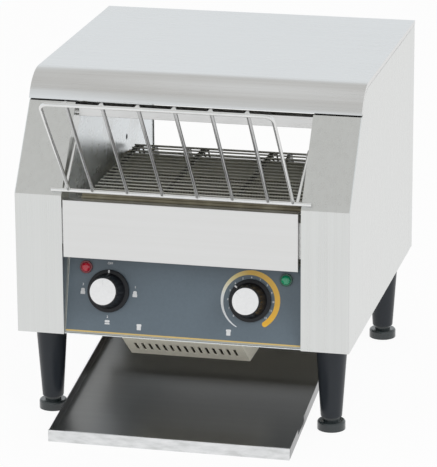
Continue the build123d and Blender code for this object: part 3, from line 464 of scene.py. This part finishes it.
def steel(name, grain, light=(0.725, 0.735, 0.725), dark=(0.64, 0.65, 0.64), rough=(0.24, 0.33)):
    """Brushed stainless sheet with its grain along one direction."""
    return surface(
        name,
        brushing,
        grain,
        tones=(dark, light),
        roughness=rough,
        relief=0.08,
        Metallic=1.0,
    )


def plastic(name, colour, roughness, relief, **sockets):
    """Moulded plastic with a fine pebble and faint, darker smudges."""
    smudge = tuple(smudge_shade * part for part in colour)
    return surface(
        name,
        moulding,
        EVEN,
        tones=(smudge, colour),
        roughness=roughness,
        relief=relief,
        **sockets,
    )


casing_upright = steel("casing_upright", UPRIGHT)
casing_level = steel("casing_level", LEVEL, (0.745, 0.75, 0.75), (0.63, 0.625, 0.615))
fascia_steel = steel("fascia_steel", LEVEL, (0.75, 0.75, 0.745), (0.71, 0.71, 0.70), (0.34, 0.42))
inner_sheet = surface(
    "inner_sheet",
    heat_stain,
    LENGTHWISE,
    tones=((0.56, 0.57, 0.57), (0.80, 0.84, 0.86), (0.88, 0.92, 0.95)),
    roughness=(0.2, 0.36),
    relief=0.06,
    Metallic=0.8,
)
heated_sheet = surface(
    "heated_sheet",
    heat_stain,
    LEVEL,
    tones=((0.36, 0.33, 0.25), (0.56, 0.53, 0.44), (0.66, 0.64, 0.56)),
    roughness=(0.4, 0.56),
    relief=0.08,
    Metallic=0.5,
)
# Paler and less metallic than the pan's steel: painted light, so that the pan under the belt reads lighter in its
# shade.
pan_painted_light = surface(
    "pan_painted_light",
    heat_stain,
    LEVEL,
    tones=((0.46, 0.44, 0.37), (0.68, 0.66, 0.57), (0.80, 0.78, 0.69)),
    roughness=(0.45, 0.6),
    relief=0.08,
    Metallic=0.1,
)
# Pale and nearly matt for steel: painted light that stands in for light from below on the duct's downward face.
duct_painted_light = surface(
    "duct_painted_light",
    brushing,
    LEVEL,
    tones=((0.82, 0.785, 0.66), (0.90, 0.86, 0.73)),
    roughness=(0.4, 0.52),
    relief=0.08,
    Metallic=0.1,
)
# A darker copy of the sheet steel for the control panel: painted shade on its lower flange.
shaded_panel_steel = steel("shaded_panel_steel", LEVEL, (0.46, 0.46, 0.43), (0.34, 0.34, 0.31))
lip_finish = surface(
    "lip_finish",
    heat_stain,
    LEVEL,
    tones=((0.07, 0.058, 0.04), (0.175, 0.155, 0.108), (0.29, 0.27, 0.205)),
    roughness=(0.28, 0.44),
    relief=0.1,
    Metallic=0.9,
)
# The tray's dark tones are painted shade and a painted dark reflection of the body above it.
shaded_tray_finish = surface(
    "shaded_tray_finish",
    brushing,
    LEVEL,
    tones=((0.26, 0.26, 0.262), (0.32, 0.322, 0.325)),
    roughness=(0.27, 0.32),
    relief=0.03,
    contrast=1.2,
    Metallic=1.0,
)
chrome_wire = surface(
    "chrome_wire",
    brushing,
    EVEN,
    tones=((0.66, 0.66, 0.65), (0.86, 0.86, 0.855)),
    roughness=(0.08, 0.2),
    relief=0.04,
    Metallic=1.0,
)
# A darker copy of the chrome wire: painted shade on the guard rods.
shaded_guard_wire = surface(
    "shaded_guard_wire",
    brushing,
    EVEN,
    tones=((0.44, 0.44, 0.44), (0.60, 0.60, 0.60)),
    roughness=(0.08, 0.2),
    relief=0.04,
    Metallic=1.0,
)
belt_finish = surface(
    "belt_finish",
    heat_stain,
    EVEN,
    tones=((0.62, 0.60, 0.51), (0.80, 0.79, 0.71), (0.90, 0.90, 0.86)),
    roughness=(0.32, 0.48),
    relief=0.05,
    Metallic=0.2,
)
# Nearly black: soot on the belt's links, and painted shade where they curl under the strands.
soot_and_shade_links = surface(
    "soot_and_shade_links",
    heat_stain,
    EVEN,
    tones=((0.05, 0.046, 0.04), (0.12, 0.115, 0.10), (0.24, 0.235, 0.22)),
    roughness=(0.3, 0.5),
    relief=0.08,
    Metallic=1.0,
)
turned_steel = steel("turned_steel", LENGTHWISE, (0.62, 0.62, 0.62), (0.5, 0.5, 0.5), (0.2, 0.32))
stamped_steel = steel("stamped_steel", EVEN, (0.44, 0.44, 0.45), (0.33, 0.33, 0.34), (0.3, 0.45))
zinc = steel("zinc", EVEN, (0.72, 0.72, 0.71), (0.58, 0.58, 0.56), (0.2, 0.34))
bronze = surface(
    "bronze",
    brushing,
    EVEN,
    tones=((0.45, 0.32, 0.15), (0.64, 0.48, 0.26)),
    roughness=(0.3, 0.45),
    relief=0.1,
    Metallic=1.0,
)
cast_case = surface(
    "cast_case",
    moulding,
    EVEN,
    tones=((0.42, 0.43, 0.45), (0.56, 0.57, 0.59)),
    roughness=(0.38, 0.52),
    relief=0.3,
    Metallic=1.0,
)
quartz = surface(
    "quartz",
    moulding,
    EVEN,
    tones=((0.88, 0.86, 0.82), (0.97, 0.96, 0.94)),
    roughness=(0.03, 0.1),
    relief=0.02,
    Transmission_Weight=1.0,
    IOR=1.46,
)
coil_metal = surface(
    "coil_metal",
    heat_stain,
    EVEN,
    tones=((0.20, 0.16, 0.13), (0.36, 0.31, 0.27)),
    roughness=(0.4, 0.55),
    relief=0.1,
    Metallic=1.0,
)
ceramic = plastic("ceramic", (0.80, 0.78, 0.72), (0.55, 0.7), 0.25)
film = surface(
    "film",
    moulding,
    EVEN,
    tones=((0.106, 0.144, 0.176), (0.140, 0.184, 0.221)),
    roughness=(0.34, 0.44),
    relief=0.05,
    Coat_Weight=0.25,
    Coat_Roughness=0.2,
)
white_ink = plastic("white_ink", (0.94, 0.95, 0.96), (0.45, 0.6), 0.05)
yellow_ink = plastic("yellow_ink", (0.84, 0.61, 0.22), (0.4, 0.55), 0.05)
knob_black = plastic(
    "knob_black", (0.011, 0.012, 0.015), (0.24, 0.36), 0.04, Specular_IOR_Level=0.3
)
cap_white = plastic("cap_white", (1.0, 1.0, 1.0), (0.18, 0.3), 0.03, Coat_Weight=1.0, Coat_IOR=1.9)
red_ring = plastic("red_ring", (0.24, 0.012, 0.02), (0.16, 0.28), 0.04, Coat_Weight=0.4)
green_ring = plastic("green_ring", (0.01, 0.11, 0.06), (0.16, 0.28), 0.04, Coat_Weight=0.4)
red_dome = plastic("red_dome", (0.74, 0.02, 0.05), (0.03, 0.08), 0.04, Specular_IOR_Level=0.8)
green_dome = plastic("green_dome", (0.02, 0.47, 0.22), (0.03, 0.08), 0.04, Specular_IOR_Level=0.8)
leg_black = plastic("leg_black", (0.014, 0.019, 0.026), (0.26, 0.4), 0.1, Specular_IOR_Level=0.4)
foot_black = plastic("foot_black", (0.025, 0.035, 0.037), (0.16, 0.28), 0.1, Coat_Weight=0.4)
dark_plastic = plastic("dark_plastic", (0.04, 0.04, 0.043), (0.4, 0.55), 0.3)


def ring_finish():
    """Ink that runs from white to orange-yellow along the ring's own map."""
    material = bpy.data.materials.new("ring_ink")
    material.use_nodes = True
    material.node_tree.nodes.clear()
    net = Network(material.node_tree)
    along = net.node("ShaderNodeSeparateXYZ", {0: net.node("ShaderNodeTexCoord").outputs["UV"]})
    stops = (
        (0.0, (0.88, 0.91, 0.94)),
        (0.24, (0.92, 0.94, 0.94)),
        (0.38, (0.94, 0.80, 0.40)),
        (0.5, (0.96, 0.62, 0.15)),
        (1.0, (0.98, 0.54, 0.05)),
    )
    worn = net.node("ShaderNodeGroup", node_tree=moulding)
    worn.inputs["Stretch"].default_value = EVEN
    worn.inputs["Contrast"].default_value = 2.0
    shader = net.node(
        "ShaderNodeBsdfPrincipled",
        {
            "Base Color": net.ramp(along.outputs["X"], stops),
            "Roughness": net.spread(worn.outputs["Tone"], 0.38, 0.52),
        },
    )
    net.node("ShaderNodeOutputMaterial", {"Surface": shader.outputs["BSDF"]})
    return material


def bare_front(material, limit, tones):
    """Paints a highlight on a finish: other, lighter tones wherever y is below a limit in metres."""
    net = Network(material.node_tree)
    place = net.node("ShaderNodeTexCoord").outputs["Object"]
    along = net.node("ShaderNodeSeparateXYZ", {0: place}).outputs["Y"]
    blotches = net.noise(net.stretched(place, BLOTCHES), detail=3.0)
    highlight_tones = net.ramp(blotches, tones)
    base = material.node_tree.nodes["Principled BSDF"].inputs["Base Color"]
    mix = net.node("ShaderNodeMix", {0: net.math("LESS_THAN", along, limit)}, data_type="RGBA")
    shaded_colour = mix.inputs[6]
    highlight_colour = mix.inputs[7]
    mixed_colour = mix.outputs[2]
    net.feed(shaded_colour, base.links[0].from_socket)
    net.feed(highlight_colour, highlight_tones)
    net.feed(base, mixed_colour)


# Painted highlight: lighter tones along the tray's folded front edge.
tray_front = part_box("collection_tray")[0].y
bare_front(
    shaded_tray_finish,
    tray_front + tray_hem * MM,
    ((0.34, (0.62, 0.63, 0.63)), (0.5, (0.72, 0.73, 0.735)), (0.66, (0.80, 0.805, 0.81))),
)


# --------------------------------------------- finishes of the CAD's own pieces
finish_of_slot = {
    "casing_steel": casing_upright,
    "panel_steel": inner_sheet,
    "panel_film": film,
    "inner_steel": inner_sheet,
    "lip_steel": lip_finish,
    "tray_steel": shaded_tray_finish,
    "quartz": quartz,
    "ceramic": ceramic,
    "belt_steel": belt_finish,
    "shaft_steel": turned_steel,
    "sprocket_steel": stamped_steel,
    "bush_bronze": bronze,
    "motor_case": cast_case,
    "switch_plastic": dark_plastic,
    "fan_plastic": dark_plastic,
    "knob_plastic": knob_black,
    "cap_white": cap_white,
    "red_bezel": red_ring,
    "red_lens": red_dome,
    "green_bezel": green_ring,
    "green_lens": green_dome,
    "rack_chrome": chrome_wire,
    "leg_plastic": leg_black,
    "foot_plastic": foot_black,
    "fastener_steel": zinc,
    "gland_plastic": dark_plastic,
}
finish_of_node = {
    "top_hood": casing_level,
    "front_top_rail": casing_level,
    "fascia_plate": fascia_steel,
    "vent_duct": duct_painted_light,
    "lower_heater_pan": pan_painted_light,
    "upper_reflector": heated_sheet,
    "toast_slide": heated_sheet,
    "heat_shield": heated_sheet,
    "control_panel": shaded_panel_steel,
    "rack_guard_rods": shaded_guard_wire,
}
for part in frame["record"]["subparts"]:
    finish = finish_of_node.get(part["node"], finish_of_slot[part["material_slot"]])
    for slot in nodes[part["node"]].material_slots:
        slot.material = finish


def soften(node):
    """Rounds a sheet's sharp edges a little, so that they catch the light."""
    merged = nodes[node].modifiers.new("merged", "WELD")
    merged.merge_threshold = sheet_weld
    rounded = nodes[node].modifiers.new("rounded", "BEVEL")
    rounded.width = sheet_edge * MM
    rounded.segments = sheet_edge_steps
    rounded.limit_method = "ANGLE"
    rounded.angle_limit = radians(sheet_edge_angle)
    rounded.harden_normals = True


for node in ("top_hood", "rear_panel", "front_top_rail", "collection_tray", "vent_duct"):
    soften(node)


# ---------------------------------------------------------------------- knobs
def knob_frame(joint):
    """Matrix of a frame on a knob's axis, at the panel."""
    return local_frame(joints[joint]["pos_m"], ACROSS, joints[joint]["axis"])


def clockwise(angle, radius):
    """Place on a dial at `angle` degrees clockwise from twelve o'clock."""
    return (radius * sin(radians(angle)), radius * cos(radians(angle)))


def fluted_knob(body, joint, pointer):
    """A tall knob on a flat skirt, bored for its spindle and cap, with scallops down its side."""
    profile = (
        (0.0, spindle_hole_end),
        (spindle_hole, spindle_hole_end),
        (spindle_hole, hub_start),
        (hub_radius, hub_start),
        (hub_radius, skirt_gap),
        (22.4, skirt_gap),
        (23.1, 0.8),
        (skirt_radius, 1.5),
        (skirt_radius, 3.3),
        (23.0, 4.1),
        (22.2, skirt_height),
        (20.2, 4.6),
        (19.3, 5.0),
        (18.9, flute_low),
        (18.3, 11.0),
        (17.6, 16.0),
        (17.0, 20.5),
        (16.4, flute_high),
        (16.1, 25.5),
        (15.5, knob_height),
        (cap_hole, knob_height),
        (cap_hole, cap_floor),
        (0.0, cap_floor),
    )
    shape = turned(profile, steps=flute_count * flute_steps)
    for vert in shape.verts:
        radius = vert.co.xy.length
        if flute_low < vert.co.z <= flute_high and radius > cap_seat:
            turn = Vector((1, 0)).angle_signed(vert.co.xy) * flute_count
            depth = flute_depth * (0.5 - 0.5 * cos(turn))
            vert.co.xy *= (radius - depth) / radius
    place = knob_frame(joint)
    knob = piece(f"{body}_fluted_knob", shape, place, body, knob_black)
    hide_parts(f"{body}_knob")
    bar = slab(pointer_width, pointer_end - pointer_start, pointer_thickness, pointer_corner)
    bar.transform(shift(0, (pointer_start + pointer_end) / 2, skirt_height))
    bar.transform(Matrix.Rotation(radians(pointer), 4, "Z"))
    piece(f"{body}_pointer", bar, place, body, white_ink)


fluted_knob("selector", "selector_turn", 0.0)
fluted_knob("speed", "speed_turn", speed_rest)


# --------------------------------------------------------------- panel printing
# On the panel, u runs to the right from its middle and v upwards from the knobs' axes.
panel_out = joints["selector_turn"]["axis"]
selector = Vector(joints["selector_turn"]["pos_m"])
speed = Vector(joints["speed_turn"]["pos_m"])
knobs_level = local_frame((0, selector.y, selector.z), ACROSS, panel_out)
selector_u = selector.x / MM
speed_u = speed.x / MM
film_low, film_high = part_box("panel_overlay")
film_bottom = (knobs_level.inverted() @ film_low).y


def printed_mark(plates):
    """A small plain print, made of rounded plates."""
    shape = bmesh.new()
    for width, height, corner, level, raised in plates:
        gather(shape, slab(width, height, print_thickness, corner), shift(0, level, raised))
    return shape


white_print = bmesh.new()
letter_lift = print_lift + print_thickness / 2
for u, v, plates in (
    (-113.5, -1.9, standing_slice_plates),
    (-55.1, -1.6, standing_slice_plates),
    (selector_u, -34.0, bun_plates),
    (-48.6, -36.9, toast_plates),
    (50.9, -35.8, toast_plates),
):
    gather(white_print, printed_mark(plates), shift(u, v, print_lift))
for u, v, text in (
    (selector_u, 30.0, "OFF"),
    (-55.1, 5.8, "1"),
    (selector_u, -28.2, "2"),
    (-113.5, 5.5, "3"),
):
    gather(white_print, lettering(text, label_height), shift(u, v, letter_lift))
for number in range(dial_marks):
    x, y = clockwise(dial_start + number * dial_step, digit_radius)
    digits = lettering(str(number), digit_height)
    gather(white_print, digits, shift(speed_u + x, y, letter_lift))
piece("panel_print_white", white_print, knobs_level, "chassis", white_ink)

stripe = slab((film_high.x - film_low.x) / MM, stripe_width, print_thickness)
stripe_v = film_bottom + stripe_rise + stripe_width / 2
stripe_place = knobs_level @ shift(0, stripe_v, print_lift)
piece("panel_stripe", stripe, stripe_place, "chassis", yellow_ink)


def speed_ring():
    """The ring round the speed dial: thin and white at its start, wide and yellow at its end."""
    shape = bmesh.new()
    inner = ring_outer - ring_width
    ends = [shape.verts.new((*clockwise(ring_start, r), 0)) for r in (inner, ring_outer)]
    edge = shape.edges.new(ends)
    bmesh.ops.spin(
        shape,
        geom=[*ends, edge],
        cent=(0, 0, 0),
        axis=(0, 0, -1),
        angle=radians(ring_sweep),
        steps=ring_steps,
    )
    around = {}
    for vert in shape.verts:
        angle = degrees(Vector((0, 1)).angle_signed(vert.co.xy))
        around[vert] = angle
        if vert.co.xy.length < ring_outer - ring_width / 2:
            grown = min(1.0, max(0.0, angle - ring_start) / ring_growth)
            width = ring_tail + (ring_width - ring_tail) * grown**ring_swell
            vert.co.xy = clockwise(angle, ring_outer - width)
    tint = shape.loops.layers.uv.new("tint")
    for face in shape.faces:
        for loop in face.loops:
            loop[tint].uv = ((around[loop.vert] - ring_start) / ring_sweep, 0.5)
    lifted = bmesh.ops.extrude_face_region(shape, geom=shape.faces)
    raised = [item for item in lifted["geom"] if isinstance(item, bmesh.types.BMVert)]
    bmesh.ops.translate(shape, vec=(0, 0, print_thickness), verts=raised)
    tip_thickness = ring_tip_share * print_thickness
    tip = bmesh.new()
    bmesh.ops.create_cone(
        tip,
        cap_ends=True,
        segments=ring_tip_sides,
        radius1=ring_width / 2,
        radius2=ring_width / 2,
        depth=tip_thickness,
    )
    tip_tint = tip.loops.layers.uv.new("tint")
    for face in tip.faces:
        for loop in face.loops:
            loop[tip_tint].uv = (1.0, 0.5)
    x, y = clockwise(ring_start + ring_sweep, ring_outer - ring_width / 2)
    gather(shape, tip, shift(x, y, tip_thickness / 2))
    bmesh.ops.recalc_face_normals(shape, faces=shape.faces)
    return shape


ring_place = knobs_level @ shift(speed_u, 0, print_lift)
piece("speed_ring", speed_ring(), ring_place, "chassis", ring_finish())


def lamp_dome(colour, u, finish):
    """A glossy dome on a short upright rim, in place of a lamp's plain lens."""
    dome_height = lens_height - lens_rim
    crown = []
    for step in range(lens_steps + 1):
        angle = radians(90 * step / lens_steps)
        crown.append((lens_radius * sin(angle), lens_rim + dome_height * cos(angle)))
    dome = turned([*crown, (lens_radius, 0.0), (0.0, 0.0)], steps=lens_sides)
    place = knobs_level @ shift(u, lamp_v, lens_seat)
    made = piece(f"{colour}_lamp_dome", dome, place, "chassis", finish)
    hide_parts(f"{colour}_lamp_lens")


lamp_dome("red", -lamp_u, red_dome)
lamp_dome("green", lamp_u, green_dome)


# ------------------------------------------------------------------- wire belt
def middle(node):
    """The middle of a node's box, in metres."""
    low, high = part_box(node)
    return (low + high) / 2


belt_low, belt_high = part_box("conveyor_belt")
front_shaft = middle("front_shaft")
rear_shaft = middle("rear_shaft")
belt_radius = (belt_high.z - belt_low.z) / MM / 2 - belt_wire
belt_run = (rear_shaft.y - front_shaft.y) / MM
belt_pitch = 2 * belt_run / (belt_strands - sprocket_teeth)


def strand_place(number):
    """Where a strand sits on the loop, in a frame at the front shaft with y along the belt."""
    half_turn = pi * belt_radius
    along = number * belt_pitch % (2 * (belt_run + half_turn))
    if along < belt_run:
        y, z, turn = along, belt_radius, 0.0
    elif along < belt_run + half_turn:
        angle = (along - belt_run) / belt_radius
        y, z = belt_run + belt_radius * sin(angle), belt_radius * cos(angle)
        turn = angle + pi / sprocket_teeth
    elif along < 2 * belt_run + half_turn:
        y, z, turn = 2 * belt_run + half_turn - along, -belt_radius, pi
    else:
        angle = (along - 2 * belt_run - half_turn) / belt_radius
        y, z = -belt_radius * sin(angle), -belt_radius * cos(angle)
        turn = pi + angle + pi / sprocket_teeth
    return shift(0, y, z) @ Matrix.Rotation(-turn, 4, "X")


def link(x):
    """The loop that hooks a strand to the next one."""
    far = belt_pitch + link_reach
    points = (
        (x - link_half, 0, 0),
        (x - link_half, belt_pitch / 2, -link_dip / 2),
        (x - link_half, far, -link_dip),
        (x + link_half, far, -link_dip),
        (x + link_half, belt_pitch / 2, -link_dip / 2),
        (x + link_half, 0, 0),
    )
    return wire_mesh(points, belt_wire)


strands = bmesh.new()
links = bmesh.new()
for number in range(belt_strands):
    place = strand_place(number)
    gather(strands, wire_mesh(((-belt_half, 0, 0), (belt_half, 0, 0)), belt_wire), place)
    for x in belt_links:
        gather(links, link(x), place)
belt_frame = Matrix.Translation((0, front_shaft.y, front_shaft.z)) @ Matrix.Scale(MM, 4)
wire_belt = piece(
    "belt_strands", strands, belt_frame, "chassis", belt_finish, wire_crease
)
piece("belt_links", links, belt_frame, "chassis", soot_and_shade_links, wire_crease)
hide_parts("conveyor_belt")


# -------------------------------------------------------------- heating coils
def tube_places():
    """The middle (y, z) of each quartz tube, from its own vertices."""
    found = []
    for vert in nodes["quartz_tubes"].data.vertices:
        point = Vector((vert.co.y, vert.co.z)) / MM
        for group in found:
            if (group[0] - point).length < tube_reach:
                group.append(point)
                break
        else:
            found.append([point])
    return [
        (
            (min(p.x for p in group) + max(p.x for p in group)) / 2,
            (min(p.y for p in group) + max(p.y for p in group)) / 2,
        )
        for group in found
    ]


coil_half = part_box("quartz_tubes")[1].x / MM - tube_inset
coil_turns = int(2 * coil_half / coil_pitch)
coil_points = []
for step in range(coil_turns * coil_sides + 1):
    angle = 2 * pi * step / coil_sides
    x = step * coil_pitch / coil_sides - coil_half
    coil_points.append((x, coil_radius * cos(angle), coil_radius * sin(angle)))
coils = bmesh.new()
for y, z in tube_places():
    gather(coils, wire_mesh(coil_points, coil_wire, coil_roundness), shift(0, y, z))
in_metres = Matrix.Scale(MM, 4)
piece("heating_coils", coils, in_metres, "chassis", coil_metal, coil_crease)


# ------------------------------------------------------------- rack weld beads
def rod_ends(upper):
    """The middle (y, z) of the guard rods' upper or lower ends."""
    low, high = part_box("rack_guard_rods")
    half_way = (low.z + high.z) / 2
    rims = [v.co for v in nodes["rack_guard_rods"].data.vertices if (v.co.z > half_way) == upper]
    return Vector((sum(p.y for p in rims), sum(p.z for p in rims))) / len(rims) / MM


rods_low, rods_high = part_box("rack_guard_rods")
guard_low, guard_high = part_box("rack_guard_frame")
rod_first = rods_low.x / MM + rack_wire / 2
rod_last = rods_high.x / MM - rack_wire / 2
top_bar = Vector((guard_low.y / MM + rack_wire / 2, guard_high.z / MM - rack_wire / 2))
beads = bmesh.new()
for number in range(rack_rods):
    x = rod_first + (rod_last - rod_first) * number / (rack_rods - 1)
    for y, z in ((top_bar + rod_ends(True)) / 2, rod_ends(False)):
        bead = bmesh.new()
        bmesh.ops.create_uvsphere(
            bead, u_segments=bead_sides, v_segments=bead_rings, radius=bead_radius
        )
        bmesh.ops.scale(bead, vec=bead_shape, verts=bead.verts)
        gather(beads, bead, shift(x, y, z))
piece("rack_welds", beads, in_metres, "rack", chrome_wire)


# ------------------------------------------------------------ stage and camera
def pale_floor():
    """A floor that looks white and keeps the object's shadow."""
    shape = bmesh.new()
    bmesh.ops.create_grid(shape, x_segments=1, y_segments=1, size=floor_reach)
    mesh = bpy.data.meshes.new("floor")
    shape.to_mesh(mesh)
    shape.free()
    floor = bpy.data.objects.new("floor", mesh)
    floor.location.z = -floor_drop * MM
    bpy.context.scene.collection.objects.link(floor)
    material = bpy.data.materials.new("floor")
    material.use_nodes = True
    material.node_tree.nodes.clear()
    net = Network(material.node_tree)
    path = net.node("ShaderNodeLightPath")
    seen = net.math("MAXIMUM", path.outputs["Is Camera Ray"], path.outputs["Is Glossy Ray"])
    matt = net.node("ShaderNodeBsdfDiffuse", {"Color": (0.95, 0.95, 0.95, 1)})
    glow = net.node("ShaderNodeEmission", {"Color": (1, 1, 1, 1), "Strength": 1.0})
    mix = net.node(
        "ShaderNodeMixShader",
        {0: net.math("MULTIPLY", seen, floor_whiteness), 1: matt.outputs[0], 2: glow.outputs[0]},
    )
    net.node("ShaderNodeOutputMaterial", {"Surface": mix.outputs[0]})
    mesh.materials.append(material)


def surround():
    """White behind the object and in its reflections, darker overhead, and a plain fill light."""
    world = bpy.data.worlds.new("surround")
    world.use_nodes = True
    world.node_tree.nodes.clear()
    net = Network(world.node_tree)
    direction = net.node("ShaderNodeTexCoord").outputs["Generated"]
    height = net.node("ShaderNodeSeparateXYZ", {0: direction}).outputs["Z"]
    sky = net.ramp(
        net.spread(height, 0.0, 1.0, -1.0, 1.0),
        (
            (0.0, (1.0, 1.0, 1.0)),
            (0.5, (0.96, 1.0, 1.03)),
            (0.70, (0.96, 1.0, 1.03)),
            (0.83, (0.69, 0.69, 0.675)),
            (0.93, (0.70, 0.695, 0.68)),
            (1.0, (0.86, 0.87, 0.87)),
        ),
    )
    path = net.node("ShaderNodeLightPath")
    plain = net.math("MAXIMUM", path.outputs["Is Camera Ray"], path.outputs["Is Transmission Ray"])
    fill = net.node(
        "ShaderNodeBackground", {"Color": (1.0, 1.0, 1.0, 1), "Strength": fill_strength}
    )
    mirrored = net.node("ShaderNodeBackground", {"Color": sky, "Strength": 1.0})
    white = net.node("ShaderNodeBackground", {"Color": (1.0, 1.0, 1.0, 1), "Strength": 1.0})
    glossy = path.outputs["Is Glossy Ray"]
    unlit = net.node("ShaderNodeMixShader", {0: glossy, 1: fill.outputs[0], 2: mirrored.outputs[0]})
    mix = net.node("ShaderNodeMixShader", {0: plain, 1: unlit.outputs[0], 2: white.outputs[0]})
    net.node("ShaderNodeOutputWorld", {"Surface": mix.outputs[0]})
    bpy.context.scene.world = world


def softbox(name, place, size, power):
    """A large square lamp that points at the casing, with its place and size in metres."""
    lamp = bpy.data.lights.new(name, "AREA")
    lamp.size = size
    lamp.energy = power
    made = bpy.data.objects.new(name, lamp)
    made.visible_glossy = False  # lights the sheets and isn't mirrored in them
    made.location = place
    made.rotation_euler = (Vector(lamp_aim) - Vector(place)).to_track_quat("-Z", "Y").to_euler()
    bpy.context.scene.collection.objects.link(made)


def fitted_camera():
    """The camera, at the fitted angle and distance."""
    back = Vector(
        (
            sin(camera_azimuth) * cos(camera_elevation),
            -cos(camera_azimuth) * cos(camera_elevation),
            sin(camera_elevation),
        )
    )
    level = Vector((cos(camera_azimuth), sin(camera_azimuth), 0))
    upright = back.cross(level)
    right = cos(camera_roll) * level + sin(camera_roll) * upright
    top = cos(camera_roll) * upright - sin(camera_roll) * level
    x, y, z = camera_target
    target = Vector((x, y + front_y, z)) * MM
    lens = bpy.data.cameras.new("camera")
    lens.sensor_width = sensor
    lens.lens = focal_pixels * sensor / picture_height
    lens.clip_end = far_clip
    camera = bpy.data.objects.new("camera", lens)
    turn = Matrix((right, top, back)).transposed().to_4x4()
    camera.matrix_world = Matrix.Translation(target + back * camera_distance * MM) @ turn
    bpy.context.scene.collection.objects.link(camera)
    bpy.context.scene.camera = camera


fitted_camera()
pale_floor()
surround()
softbox("key", place=(2.5, -1.5, 1.8), size=1.6, power=24)
softbox("fill", place=(-2.7, -1.5, 0.8), size=1.4, power=9)
bpy.context.scene.view_settings.view_transform = "Standard"
